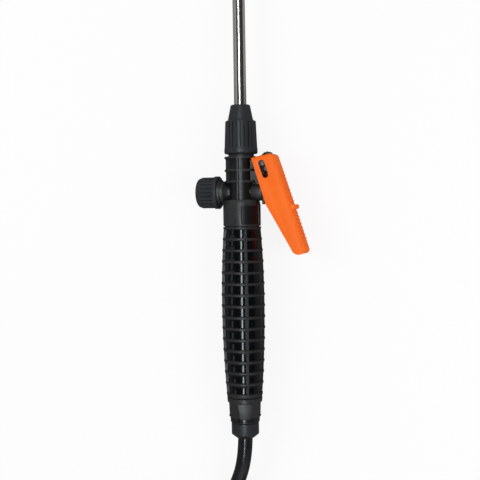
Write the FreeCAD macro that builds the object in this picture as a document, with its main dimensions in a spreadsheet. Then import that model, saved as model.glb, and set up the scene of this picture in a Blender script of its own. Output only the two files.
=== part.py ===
"""Hand lance of a backpack sprayer: trigger valve, ringed grip, steel lance, nozzle and tank hose.

The handle lies on a flat surface with its long axis along +Y, towards the nozzle. The trigger is on
the +X side and the valve cap on the -X side. Each piece is drawn about the lance axis, with Y = 0
at the axis of the valve barrel, and is then placed. Lengths are in millimetres, angles in degrees.
"""

import FreeCAD
import Part
import math
import os
import re
import Sketcher
from FreeCAD import Vector

SIZES = {
    # fits
    "running_gap": 0.05,
    "seat_gap": 0.3,
    "touch_gap": 0.02,
    # lance tube
    "tube_radius": 5.0,
    "tube_bore": 4.0,
    "tube_foot": 23.5,
    "tube_bend_start": 372.0,
    "tube_bend_radius": 35.0,
    "tube_bend_angle": 40.0,
    "tube_tip_length": 22.0,
    # lance nut, from its mouth to its nose
    "nut_mouth": 30.9,
    "nut_band_top": 35.2,
    "nut_rib_top": 57.5,
    "nut_cone_foot": 59.2,
    "nut_nose": 70.3,
    "nut_band_radius": 13.5,
    "nut_rib_top_radius": 12.4,
    "nut_cone_radius": 10.0,
    "nut_nose_radius": 7.9,
    "nut_groove_depth": 0.9,
    "nut_groove_width": 1.0,
    "nut_grooves": 24,
    "nut_seat": 53.0,
    "ferrule_length": 7.0,
    "lance_thread_radius": 10.4,
    "socket_floor": 23.0,
    "seal_seat": 46.0,
    "seal_wire": 1.1,
    # valve body
    "flange_top": 28.7,
    "flange_thickness": 1.7,
    "ring_radius": 13.5,
    "upper_ring": 17.5,
    "lower_ring": 8.5,
    "ring_thickness": 1.6,
    "core_radius": 10.2,
    "rib_radius": 12.9,
    "rib_width": 1.6,
    "collar_top": -6.1,
    "collar_shoulder": -10.3,
    "collar_foot": -27.4,
    "collar_top_radius": 14.4,
    "collar_radius": 15.2,
    "window_top": -10.9,
    "window_foot": -25.9,
    "window_angle": 66.0,
    "window_depth": 0.7,
    "window_turn": -44.0,
    "stem_radius": 9.4,
    "stem_foot": -52.0,
    "barrel_radius": 6.0,
    "barrel_end": 18.9,
    "flare_start": 7.5,
    "flare_end": 13.8,
    "flare_radius": 9.0,
    "neck_end": 16.4,
    "cap_thread_radius": 10.4,
    "spigot_end": 32.8,
    "chamber_radius": 4.5,
    "chamber_end": 2.5,
    "seat_wall": 1.9,
    "seat_hole_radius": 2.6,
    "gallery_length": 3.2,
    "outlet_radius": 1.4,
    "inlet_radius": 2.4,
    "oring_seat": 13.0,
    "gland_seat": 16.2,
    "gland_radius": 3.4,
    "ear_inside": 2.6,
    "ear_outside": 5.0,
    "ear_radius": 4.0,
    # valve insides
    "spindle_radius": 1.7,
    "head_radius": 3.0,
    "head_centre": 33.1,
    "disc_radius": 3.8,
    "disc_start": -5.0,
    "washer_start": 1.0,
    "spring_radius": 3.2,
    "spring_wire": 0.9,
    "spring_turns": 9,
    "guard_thickness": 1.8,
    "guard_drop": 10.0,
    "guard_rise": 6.6,
    "guard_half_width": 7.4,
    # valve cap
    "cap_rim": 18.4,
    "cap_rib_start": 22.0,
    "cap_rib_end": 32.6,
    "cap_end": 36.5,
    "cap_rim_radius": 13.3,
    "cap_rib_radius": 12.6,
    "cap_end_radius": 8.6,
    "cap_floor": 33.4,
    "gasket_radius": 5.2,
    # trigger lever
    "pivot_x": 19.6,
    "pivot_y": 22.6,
    "pin_radius": 1.95,
    "pin_head_length": 1.4,
    "lever_width": 22.0,
    "lever_wall": 2.0,
    "lever_edge_round": 3.0,
    "lever_heel_x": 11.4,
    "lever_heel_y": 27.5,
    "lever_crown_x": 28.5,
    "lever_crown_y": 30.7,
    "lever_crown_round": 3.4,
    "lever_toe_x": 53.5,
    "lever_toe_y": -45.6,
    "lever_toe_round": 3.6,
    "lever_tip_x": 50.6,
    "lever_tip_y": -49.9,
    "lever_tip_round": 6.0,
    "lever_inner_x": 42.9,
    "lever_inner_y": -46.0,
    "lever_knee_x": 22.7,
    "lever_knee_y": -10.2,
    "lever_slope": 18.4,
    "slot_half_width": 2.55,
    "slot_length": 9.8,
    "nub_along": 38.4,
    "nub_height": 3.0,
    "nub_thickness": 4.2,
    "nub_width": 18.0,
    # lock slide
    "lock_inside": 5.4,
    "lock_outside": 8.6,
    "lock_boss_reach": 10.4,
    "lock_boss_along": 4.7,
    "lock_boss_radius": 2.1,
    "lock_half_width": 3.3,
    "lock_foot": 6.9,
    "lock_bridge_foot": -4.9,
    "lock_bridge_top": -7.4,
    "lock_bridge_inner": 4.4,
    "lock_bridge_outer": 7.0,
    "lock_travel": 4.5,
    # grip
    "grip_top": -28.2,
    "grip_top_radius": 15.3,
    "grip_belly": -90.0,
    "grip_belly_radius": 17.7,
    "grip_foot": -165.8,
    "grip_foot_radius": 14.6,
    "grip_ring_thickness": 1.6,
    "grip_rings": 16,
    "grip_cell_depth": 2.3,
    "grip_rib_width": 1.7,
    "grip_rib_inset": 0.25,
    "grip_bore": 9.5,
    "grip_turn": 26.6,
    # end collar, hose fitting and hose nut
    "end_turn": 16.0,
    "end_top": -166.5,
    "end_foot": -182.4,
    "end_top_radius": 14.4,
    "end_foot_radius": 13.0,
    "end_window_top": -170.2,
    "end_window_foot": -181.6,
    "end_window_angle": 58.0,
    "tongue_height": 0.3,
    "tongue_top_width": 12.5,
    "tongue_foot_width": 7.5,
    "fitting_stem_top": -150.0,
    "fitting_foot": -187.1,
    "fitting_radius": 12.1,
    "fitting_thread_radius": 8.9,
    "fitting_thread_foot": -194.0,
    "fitting_bore": 2.5,
    "lug_radius": 12.6,
    "hose_nut_top": -187.4,
    "hose_nut_shoulder": -196.7,
    "hose_nut_foot": -200.0,
    "hose_nut_radius": 11.2,
    "hose_nut_nose_radius": 7.2,
    # strainer in the grip
    "strainer_top": -52.3,
    "strainer_collar": 3.0,
    "strainer_foot": -112.0,
    "strainer_radius": 6.4,
    "strainer_wall": 0.4,
    "strainer_ribs": 4,
    # nozzle, along its own axis from the end of the tube's bend
    "tip_nut_start": 2.0,
    "tip_nut_end": 14.4,
    "tip_nut_radius": 10.2,
    "tip_thread_radius": 8.0,
    "tip_spigot_start": 7.5,
    "nozzle_flange_start": 14.7,
    "nozzle_flange_end": 19.0,
    "nozzle_flange_radius": 9.6,
    "nozzle_thread_radius": 6.6,
    "nozzle_thread_end": 31.0,
    "nozzle_cap_start": 20.0,
    "nozzle_cap_end": 37.0,
    "nozzle_cap_radius": 9.0,
    "nozzle_cap_floor": 33.5,
    "nozzle_orifice": 0.8,
    "swirl_radius": 2.6,
    "swirl_start": 25.0,
    # hose
    "hose_radius": 6.0,
    "barb_radius": 4.2,
    "coil_x": 1.0,
    "coil_y": -337.0,
    "coil_radius": 66.0,
    "coil_turns": 2.58,
    "coil_start_angle": 135.0,
    "turn_height": 12.3,
    "coil_corner": 3.0,
    "tie_angle": 75.0,
    "tie_spread": 12.0,
    "tie_thickness": 0.8,
    # tank connector, along its own axis from the hose's end
    "tail_collar": 3.0,
    "tail_collar_radius": 7.6,
    "tail_neck_radius": 6.0,
    "tank_nut_start": 4.0,
    "tank_nut_floor": 10.0,
    "tank_nut_end": 25.0,
    "tank_nut_radius": 13.0,
    "tank_thread_radius": 10.2,
    "tail_flange_radius": 9.4,
    "tail_flange_end": 12.4,
    "washer_thickness": 2.0,
    # the frame's origin, set below from the finished pieces
    "origin_x": 0.0,
    "origin_y": 0.0,
}

# The hose's route from the fitting to the coil: X and Y about the lance axis, and height above the
# surface. The coil's first turn starts at the last point.
HOSE_ROUTE = [
    (0.0, -194.0, 17.7),
    (0.0, -216.0, 17.7),
    (-10.0, -244.0, 12.4),
    (-27.5, -271.0, 7.4),
    (-46.0, -290.3, 6.8),
]
CORD_LABELS = ["hose", "hose_coil", "hose_tie", "tank_tail", "tank_nut", "tank_washer"]

WORD = re.compile(r"\b([a-z][a-z_0-9]*)\b(?!\()")

doc = FreeCAD.newDocument("spray_lance")
sheet = doc.addObject("Spreadsheet::Sheet", "size")
for row, (name, number) in enumerate(SIZES.items(), 1):
    sheet.set(f"A{row}", name)
    sheet.set(f"B{row}", str(number))
    sheet.setAlias(f"B{row}", name)
doc.recompute()


def cells(text):
    """The expression with each size's name turned into its cell."""
    return WORD.sub(r"size.\1", text)


def value(text):
    """The number that an expression of size names gives now."""
    result = sheet.evalExpression(cells(text))
    return float(getattr(result, "Value", result))


def bind(thing, property_name, text):
    thing.setExpression(property_name, cells(text))


# ---------------------------------------------------------------- sketches and features


def new_body(label):
    body = doc.addObject("PartDesign::Body", label)
    body.Label = label
    return body


def sketch_on(body, role, offset="0"):
    """An empty sketch on one of the body's own planes, moved along the plane's normal."""
    plane = next(f for f in body.Origin.OriginFeatures if f.Role == role)
    sketch = body.newObject("Sketcher::SketchObject", "sketch")
    sketch.AttachmentSupport = [(plane, "")]
    sketch.MapMode = "FlatFace"
    bind(sketch, "AttachmentOffset.Base.z", offset)
    return sketch


def bound_constraint(sketch, kind, where, text):
    number = value(text)
    index = sketch.addConstraint(Sketcher.Constraint(kind, *where, number))
    bind(sketch, f"Constraints[{index}]", text)


def arc_between(start, end, radius):
    """The short arc of that radius, turning left for a positive radius and right for a negative."""
    chord = end - start
    middle = (start + end) * 0.5
    side = Vector(-chord.y, chord.x, 0).normalize()
    rise = math.sqrt(radius**2 - chord.Length**2 / 4) * math.copysign(1, radius)
    centre = middle + side * rise
    top = centre + (middle - centre).normalize() * abs(radius)
    return Part.Arc(start, top, end) if radius > 0 else Part.Arc(end, top, start)


def outline(sketch, points):
    """A closed outline. A point is (x, y), or (x, y, radius) where an arc leads to it."""
    places = [Vector(value(p[0]), value(p[1]), 0) for p in points]
    ends = []
    for i, point in enumerate(points):
        before, here = places[i - 1], places[i]
        if len(point) == 3:
            radius = value(point[2])
            index = sketch.addGeometry(arc_between(before, here, radius))
            bound_constraint(sketch, "Radius", (index,), point[2].lstrip("-"))
            ends.append((index, 1, 2) if radius > 0 else (index, 2, 1))
        else:
            index = sketch.addGeometry(Part.LineSegment(before, here))
            ends.append((index, 1, 2))
    for i, point in enumerate(points):
        segment, _, last = ends[i]
        following, first, _ = ends[(i + 1) % len(points)]
        sketch.addConstraint(Sketcher.Constraint("Coincident", segment, last, following, first))
        bound_constraint(sketch, "DistanceX", (-1, 1, segment, last), point[0])
        bound_constraint(sketch, "DistanceY", (-1, 1, segment, last), point[1])


def circle(sketch, x, y, radius):
    centre = Vector(value(x), value(y), 0)
    index = sketch.addGeometry(Part.Circle(centre, Vector(0, 0, 1), value(radius)))
    bound_constraint(sketch, "DistanceX", (-1, 1, index, 3), x)
    bound_constraint(sketch, "DistanceY", (-1, 1, index, 3), y)
    bound_constraint(sketch, "Radius", (index,), radius)


def box_points(left, right, low, high):
    return [(left, low), (right, low), (right, high), (left, high)]


def turned(
    body, points, axis="V_Axis", cut=False, angle="360", role="XY_Plane", about_middle=False, start=None
):
    """A turned shape about the sketch's own axis, added to the body or cut from it."""
    sketch = sketch_on(body, role)
    if start:
        turn = f"placement(vector(0; 0; 0); rotation(vector(0; 1; 0); {start}))"
        bind(sketch, "AttachmentOffset", turn)
    outline(sketch, points)
    kind = "PartDesign::Groove" if cut else "PartDesign::Revolution"
    feature = body.newObject(kind, "turned")
    feature.Profile = sketch
    feature.ReferenceAxis = (sketch, [axis])
    feature.Midplane = about_middle
    bind(feature, "Angle", angle)
    return feature


def extruded(body, draw, role, length, offset="0", cut=False, middle=False, reverse=False):
    """A pad or pocket of what draw puts on the sketch."""
    sketch = sketch_on(body, role, offset)
    draw(sketch)
    feature = body.newObject("PartDesign::Pocket" if cut else "PartDesign::Pad", "extruded")
    feature.Profile = sketch
    feature.Midplane = middle
    # a pocket goes against its sketch's normal unless it is reversed, and a pad goes along it
    feature.Reversed = reverse
    bind(feature, "Length", length)
    return feature


def around(body, feature, count, role="Y_Axis"):
    """Copies of a feature, evenly spaced round one of the body's axes."""
    axis = next(f for f in body.Origin.OriginFeatures if f.Role == role)
    pattern = body.newObject("PartDesign::PolarPattern", "pattern")
    pattern.Originals = [feature]
    pattern.Axis = (axis, [""])
    pattern.Angle = 360
    bind(pattern, "Occurrences", count)
    body.Tip = pattern
    return pattern


def along(body, feature, count, length, role="Y_Axis", reverse=False):
    """Copies of a feature, evenly spaced along one of the body's axes."""
    axis = next(f for f in body.Origin.OriginFeatures if f.Role == role)
    pattern = body.newObject("PartDesign::LinearPattern", "pattern")
    pattern.Originals = [feature]
    pattern.Direction = (axis, [""])
    pattern.Reversed = reverse
    bind(pattern, "Length", length)
    bind(pattern, "Occurrences", count)
    body.Tip = pattern
    return pattern


def rounded(body, radius, picks):
    """A fillet on the edges of the body's last feature whose middles pass the test."""
    doc.recompute()
    base = body.Tip
    names = []
    for i, edge in enumerate(base.Shape.Edges, 1):
        middle = edge.valueAt((edge.FirstParameter + edge.LastParameter) / 2)
        if picks(edge, middle):
            names.append(f"Edge{i}")
    fillet = body.newObject("PartDesign::Fillet", "rounding")
    fillet.Base = (base, names)
    bind(fillet, "Radius", radius)
    return fillet


# ---------------------------------------------------------------- places

ON_AXIS = "placement(vector(-origin_x; -origin_y; grip_belly_radius); rotation(vector(0; 0; 1); 0))"
# The nozzle is turned about the lance until its cap rests on the surface.
TIP_REACH = (
    "(tube_bend_radius * (1 - cos(tube_bend_angle)) + nozzle_cap_end * sin(tube_bend_angle))"
    " / sin(tube_bend_angle)"
)
TIP_LEAN = (
    f"(({TIP_REACH}) * grip_belly_radius - nozzle_cap_radius * sqrt(({TIP_REACH}) ^ 2"
    f" + nozzle_cap_radius ^ 2 - grip_belly_radius ^ 2)) / (({TIP_REACH}) ^ 2 + nozzle_cap_radius ^ 2)"
)
TIP_TURN = f"asin(({TIP_LEAN}) / sin(tube_bend_angle))"


def turn(axis, angle):
    return f" * placement(vector(0; 0; 0); rotation(vector({axis}); {angle}))"


ALONG_X = ON_AXIS + turn("0; 0; 1", "-90")
GRIP_PLACE = ON_AXIS + turn("0; 1; 0", "grip_turn")
END_PLACE = ON_AXIS + turn("0; 1; 0", "end_turn")
TUBE_PLACE = ON_AXIS + turn("0; 1; 0", TIP_TURN)
NOZZLE_PLACE = (
    TUBE_PLACE
    + " * placement(vector(tube_bend_radius * (1 - cos(tube_bend_angle));"
    + " tube_bend_start + tube_bend_radius * sin(tube_bend_angle); 0);"
    + " rotation(vector(0; 0; 1); -tube_bend_angle))"
)
COIL_CENTRE = (
    "placement(vector(coil_x - origin_x; coil_y - origin_y; tie_thickness + touch_gap);"
    " rotation(vector(0; 0; 1); {}))"
)
COIL_END_ANGLE = "coil_start_angle + 360 * coil_turns"
CONNECTOR_HEIGHT = "2 * hose_radius + turn_height + tank_nut_radius + seat_gap"
CONNECTOR_PLACE = (
    COIL_CENTRE.format(COIL_END_ANGLE)
    + f" * placement(vector(coil_radius; 0; {CONNECTOR_HEIGHT}); rotation(vector(0; 0; 1); 0))"
)


def put(body, place):
    bind(body, "Placement", place)
    return body


# ---------------------------------------------------------------- lance


def lance_tube():
    """A steel tube: straight, one bend, and a short straight tip."""
    body = put(new_body("lance_tube"), TUBE_PLACE)
    path = sketch_on(body, "XY_Plane")
    start, bend = value("tube_foot"), value("tube_bend_start")
    angle, radius = math.radians(value("tube_bend_angle")), value("tube_bend_radius")
    arc_end = Vector(radius * (1 - math.cos(angle)), bend + radius * math.sin(angle), 0)
    heading = Vector(math.sin(angle), math.cos(angle), 0)
    arc_top = Vector(radius * (1 - math.cos(angle / 2)), bend + radius * math.sin(angle / 2), 0)
    tip = arc_end + heading * value("tube_tip_length")
    straight = path.addGeometry(Part.LineSegment(Vector(0, start, 0), Vector(0, bend, 0)))
    arc = path.addGeometry(Part.Arc(arc_end, arc_top, Vector(0, bend, 0)))
    last = path.addGeometry(Part.LineSegment(arc_end, tip))
    path.addConstraint(Sketcher.Constraint("PointOnObject", straight, 1, -2))
    path.addConstraint(Sketcher.Constraint("Vertical", straight))
    bound_constraint(path, "DistanceY", (-1, 1, straight, 1), "tube_foot")
    bound_constraint(path, "DistanceY", (-1, 1, straight, 2), "tube_bend_start")
    path.addConstraint(Sketcher.Constraint("Coincident", arc, 2, straight, 2))
    path.addConstraint(Sketcher.Constraint("Coincident", arc, 1, last, 1))
    end_x = "tube_bend_radius * (1 - cos(tube_bend_angle))"
    end_y = "tube_bend_start + tube_bend_radius * sin(tube_bend_angle)"
    bound_constraint(path, "DistanceX", (-1, 1, arc, 1), end_x)
    bound_constraint(path, "DistanceY", (-1, 1, arc, 1), end_y)
    bound_constraint(path, "Radius", (arc,), "tube_bend_radius")
    tip_x = f"{end_x} + tube_tip_length * sin(tube_bend_angle)"
    tip_y = f"{end_y} + tube_tip_length * cos(tube_bend_angle)"
    bound_constraint(path, "DistanceX", (-1, 1, last, 2), tip_x)
    bound_constraint(path, "DistanceY", (-1, 1, last, 2), tip_y)
    section = sketch_on(body, "XZ_Plane", "-tube_foot")
    circle(section, "0", "0", "tube_radius")
    circle(section, "0", "0", "tube_bore")
    pipe = body.newObject("PartDesign::AdditivePipe", "tube")
    pipe.Profile = section
    pipe.Spine = (path, ["Edge1", "Edge2", "Edge3"])
    return body


def grooved_ring(body, groove_floor, start, length):
    """Narrow grooves round a nut's or cap's outside."""
    half = "nut_groove_width / 2"

    def draw(sketch):
        outline(sketch, box_points(f"-{half}", half, groove_floor, f"{groove_floor} + 4"))

    groove = extruded(body, draw, "XZ_Plane", length, f"-({start})", cut=True, reverse=True)
    return around(body, groove, "nut_grooves")


def lance_nut():
    """The ribbed nut that clamps the lance in the valve body."""
    body = put(new_body("lance_nut"), ON_AXIS)
    bore = "lance_thread_radius + running_gap"
    hole = "tube_radius + running_gap"
    turned(
        body,
        [
            (bore, "nut_mouth"),
            ("nut_band_radius - 0.8", "nut_mouth"),
            ("nut_band_radius", "nut_mouth + 0.8"),
            ("nut_band_radius", "nut_band_top"),
            ("nut_rib_top_radius", "nut_rib_top - 0.6"),
            ("nut_rib_top_radius - 0.6", "nut_rib_top"),
            ("nut_cone_radius + 0.4", "nut_rib_top"),
            ("nut_cone_radius", "nut_cone_foot"),
            ("nut_nose_radius", "nut_nose - 0.6"),
            ("nut_nose_radius - 0.6", "nut_nose"),
            (hole, "nut_nose"),
            (hole, "nut_seat + ferrule_length"),
            ("tube_radius + 2.4", "nut_seat + ferrule_length"),
            ("tube_radius + 3.6", "nut_seat"),
            (bore, "nut_seat - 0.6"),
        ],
    )
    floor = "nut_rib_top_radius - nut_groove_depth"
    grooved_ring(body, floor, "nut_band_top", "nut_rib_top - nut_band_top - 1.0")
    return body


def lance_ferrule():
    """The tapered ring that the nut squeezes on to the tube."""
    body = put(new_body("lance_ferrule"), ON_AXIS)
    turned(
        body,
        [
            ("tube_radius + touch_gap", "nut_seat - 0.8"),
            ("tube_radius + 3.4", "nut_seat - 0.8"),
            ("tube_radius + 3.4", "nut_seat"),
            ("tube_radius + 2.3", "nut_seat + ferrule_length - 0.1"),
            ("tube_radius + touch_gap", "nut_seat + ferrule_length - 0.1"),
        ],
    )
    return body


def ring_of_wire(label, place, centre_radius, centre, wire):
    """A sealing ring of round section about its own Y axis."""
    body = put(new_body(label), place)
    sketch = sketch_on(body, "XY_Plane")
    circle(sketch, centre_radius, centre, wire)
    feature = body.newObject("PartDesign::Revolution", "ring")
    feature.Profile = sketch
    feature.ReferenceAxis = (sketch, ["V_Axis"])
    feature.Angle = 360
    return body


# ---------------------------------------------------------------- valve body


def valve_body():
    """One moulding: lance socket, finned head, cross barrel, pivot ears, collar and grip stem."""
    body = put(new_body("valve_body"), ON_AXIS)
    half_ring = "ring_thickness / 2"
    turned(
        body,
        [
            ("0", "stem_foot"),
            ("stem_radius", "stem_foot"),
            ("stem_radius", "collar_foot"),
            ("collar_radius - 0.5", "collar_foot"),
            ("collar_radius", "collar_foot + 0.5"),
            ("collar_radius", "collar_shoulder"),
            ("collar_top_radius", "collar_top - 0.8"),
            ("collar_top_radius - 0.8", "collar_top"),
            ("core_radius", "collar_top"),
            ("core_radius", f"lower_ring - {half_ring}"),
            ("ring_radius", f"lower_ring - {half_ring}"),
            ("ring_radius", f"lower_ring + {half_ring}"),
            ("core_radius", f"lower_ring + {half_ring}"),
            ("core_radius", f"upper_ring - {half_ring}"),
            ("ring_radius", f"upper_ring - {half_ring}"),
            ("ring_radius", f"upper_ring + {half_ring}"),
            ("core_radius", f"upper_ring + {half_ring}"),
            ("core_radius", "flange_top - flange_thickness"),
            ("ring_radius", "flange_top - flange_thickness"),
            ("ring_radius", "flange_top - 0.3"),
            ("ring_radius - 0.3", "flange_top"),
            ("lance_thread_radius", "flange_top"),
            ("lance_thread_radius", "nut_seat - 2.4"),
            ("lance_thread_radius - 1.2", "nut_seat - 1.2"),
            ("0", "nut_seat - 1.2"),
        ],
    )

    def front_rib(sketch):
        outline(sketch, box_points("-rib_width / 2", "rib_width / 2", "-rib_radius", "rib_radius"))

    def side_rib(sketch):
        outline(sketch, box_points("-rib_radius", "0", "-rib_width / 2", "rib_width / 2"))

    top = "flange_top - flange_thickness / 2"
    rib_length = f"{top} - collar_top + 0.5"
    extruded(body, front_rib, "XZ_Plane", rib_length, f"-({top})")
    extruded(body, side_rib, "XZ_Plane", f"{top} - barrel_radius + 1", f"-({top})")
    turned(
        body,
        [
            ("-spigot_end", "0"),
            ("-spigot_end", "cap_thread_radius - 0.6"),
            ("-spigot_end + 0.6", "cap_thread_radius"),
            ("-neck_end", "cap_thread_radius"),
            ("-neck_end", "flare_radius"),
            ("-flare_end", "flare_radius"),
            ("-flare_start", "barrel_radius", "flare_end - flare_start + 2"),
            ("barrel_end", "barrel_radius"),
            ("barrel_end", "0"),
        ],
        axis="H_Axis",
    )

    def ears(sketch):
        outline(
            sketch,
            [
                ("core_radius - 3", "lower_ring"),
                ("core_radius + 5.5", "lower_ring"),
                ("pivot_x + ear_radius", "pivot_y - 2.5"),
                ("pivot_x + ear_radius", "pivot_y"),
                ("pivot_x", "pivot_y + ear_radius", "ear_radius"),
                ("core_radius - 3", "pivot_y + ear_radius"),
            ],
        )

    def ear_gap(sketch):
        outline(
            sketch,
            box_points(
                "core_radius + 1.5",
                "pivot_x + 2 * ear_radius",
                f"lower_ring + {half_ring}",
                "flange_top",
            ),
        )

    def pin_hole(sketch):
        circle(sketch, "pivot_x", "pivot_y", "pin_radius + touch_gap")

    extruded(body, ears, "XY_Plane", "2 * ear_outside", middle=True)
    extruded(body, ear_gap, "XY_Plane", "2 * ear_inside", cut=True, middle=True)
    extruded(body, pin_hole, "XY_Plane", "4 * ear_outside", cut=True, middle=True)
    # chamber, seat hole, gallery, spindle guide and gland seat along the barrel
    turned(
        body,
        [
            ("-spigot_end - 1", "0"),
            ("-spigot_end - 1", "chamber_radius"),
            ("chamber_end", "chamber_radius"),
            ("chamber_end", "seat_hole_radius"),
            ("chamber_end + seat_wall", "seat_hole_radius"),
            ("chamber_end + seat_wall", "chamber_radius - 0.5"),
            ("chamber_end + seat_wall + gallery_length", "chamber_radius - 0.5"),
            ("chamber_end + seat_wall + gallery_length", "spindle_radius + running_gap"),
            ("oring_seat", "spindle_radius + running_gap"),
            ("oring_seat", "gland_radius"),
            ("barrel_end + 1", "gland_radius"),
            ("barrel_end + 1", "0"),
        ],
        axis="H_Axis",
        cut=True,
    )
    # lance socket and, below the barrel, the inlet
    turned(
        body,
        [
            ("0", "socket_floor"),
            ("tube_radius + running_gap", "socket_floor"),
            ("tube_radius + running_gap", "seal_seat"),
            ("tube_radius + 2 * seal_wire", "seal_seat"),
            ("tube_radius + 2 * seal_wire", "nut_seat"),
            ("0", "nut_seat"),
        ],
        cut=True,
    )
    turned(
        body,
        [("0", "stem_foot - 1"), ("inlet_radius", "stem_foot - 1"), ("inlet_radius", "0"), ("0", "0")],
        cut=True,
    )
    outlet_x = "chamber_end + seat_wall + gallery_length / 2"

    def riser(sketch):
        circle(sketch, outlet_x, "0", "outlet_radius")

    def crossing(sketch):
        reach = f"{outlet_x} + outlet_radius"
        outline(sketch, box_points("-outlet_radius", reach, "-outlet_radius", "outlet_radius"))

    extruded(body, riser, "XZ_Plane", "lower_ring + 1", "-(lower_ring + 1)", cut=True, reverse=True)
    crossing_length = "socket_floor - lower_ring + 1"
    extruded(body, crossing, "XZ_Plane", crossing_length, "-(socket_floor + 1)", cut=True, reverse=True)
    # a shallow window on each side of the collar
    window = turned(
        body,
        [
            ("collar_radius - window_depth", "window_foot"),
            ("collar_radius + 2", "window_foot"),
            ("collar_radius + 2", "window_top"),
            ("collar_radius - window_depth", "window_top"),
        ],
        cut=True,
        angle="window_angle",
        about_middle=True,
        start="window_turn",
    )
    around(body, window, "2")
    return body


def spindle():
    """The push rod of the valve, with a domed head that the trigger presses."""
    body = put(new_body("spindle"), ON_AXIS)
    dome = "head_centre + head_radius"
    turned(
        body,
        [
            ("disc_start - 1.5", "0"),
            ("disc_start - 1.5", "spindle_radius"),
            ("head_centre - 4.5", "spindle_radius"),
            ("head_centre - 3.5", "head_radius"),
            ("head_centre", "head_radius"),
            (dome, "0", "-head_radius"),
        ],
        axis="H_Axis",
    )
    return body


def barrel_ring(label, start, end, inner, outer):
    """A plain ring about the barrel's axis."""
    body = put(new_body(label), ON_AXIS)
    turned(body, [(start, inner), (end, inner), (end, outer), (start, outer)], axis="H_Axis")
    return body


def valve_disc():
    """The disc on the spindle that holds the seat washer, with a hub inside the spring."""
    body = put(new_body("valve_disc"), ON_AXIS)
    hole = "spindle_radius + touch_gap"
    turned(
        body,
        [
            ("disc_start - 1.5", hole),
            ("washer_start", hole),
            ("washer_start", "disc_radius"),
            ("disc_start + 1.5", "disc_radius"),
            ("disc_start + 1.5", "disc_radius - 0.3"),
            ("disc_start", "disc_radius - 0.3"),
            ("disc_start", "spring_radius - spring_wire / 2 - 0.2"),
            ("disc_start - 1.5", "spring_radius - spring_wire / 2 - 0.4"),
        ],
        axis="H_Axis",
    )
    return body


def valve_spring():
    """A coil spring between the disc and the cap, wound about its own Z axis."""
    wire, radius = value("spring_wire / 2"), value("spring_radius")
    length = value("disc_start + cap_floor - spring_wire - 2 * touch_gap")
    helix = Part.makeHelix(length / value("spring_turns"), length, radius)
    section = Part.Wire(Part.makeCircle(wire, Vector(radius, 0, 0), Vector(0, 1, 0)))
    spring = doc.addObject("Part::Feature", "valve_spring")
    spring.Shape = Part.Wire(helix).makePipeShell([section], True, True)
    spring.Label = "valve_spring"
    foot = "placement(vector(spring_wire / 2 + touch_gap - cap_floor; 0; 0); rotation(vector(0; 1; 0); 90))"
    bind(spring, "Placement", f"{ON_AXIS} * {foot}")
    return spring


def spindle_gland():
    """The bush that closes the barrel's open end, with a guard plate under the trigger."""
    body = put(new_body("spindle_gland"), ON_AXIS)
    hole = "spindle_radius + running_gap"
    turned(
        body,
        [
            ("gland_seat", hole),
            ("barrel_end + guard_thickness", hole),
            ("barrel_end + guard_thickness", "barrel_radius"),
            ("barrel_end + touch_gap", "barrel_radius"),
            ("barrel_end + touch_gap", "gland_radius - touch_gap"),
            ("gland_seat", "gland_radius - touch_gap"),
        ],
        axis="H_Axis",
    )

    def plate(sketch):
        outline(
            sketch,
            box_points("-guard_drop", "guard_rise", "-guard_half_width", "guard_half_width"),
        )
        circle(sketch, "0", "0", "barrel_radius - 1")

    extruded(
        body, plate, "YZ_Plane", "guard_thickness - touch_gap", "barrel_end + touch_gap"
    )
    return body


def valve_cap():
    """The ribbed screw cap that closes the valve chamber."""
    body = put(new_body("valve_cap"), ALONG_X)
    bore = "cap_thread_radius + running_gap"
    turned(
        body,
        [
            ("0", "-cap_end"),
            ("cap_end_radius", "-cap_end"),
            ("cap_rib_radius - 1.2", "-cap_rib_end - 2.2", "cap_rib_radius"),
            ("cap_rib_radius", "-cap_rib_end"),
            ("cap_rib_radius", "-cap_rib_start"),
            ("cap_rim_radius", "-cap_rib_start"),
            ("cap_rim_radius", "-cap_rim - 0.4"),
            ("cap_rim_radius - 0.4", "-cap_rim"),
            (bore, "-cap_rim"),
            (bore, "-cap_floor"),
            ("0", "-cap_floor"),
        ],
    )
    floor = "cap_rib_radius - nut_groove_depth"
    grooved_ring(body, floor, "-cap_rib_start", "cap_rib_end - cap_rib_start + 2.4")
    return body


# ---------------------------------------------------------------- trigger

SLOT_X = "sin(lever_slope)"
SLOT_Y = "cos(lever_slope)"


def down_slot(distance, across="0"):
    """A point that far down the lever's slot from the pivot, and across towards its back."""
    x = f"pivot_x + ({distance}) * {SLOT_X} + ({across}) * {SLOT_Y}"
    y = f"pivot_y - ({distance}) * {SLOT_Y} + ({across}) * {SLOT_X}"
    return x, y


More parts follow.
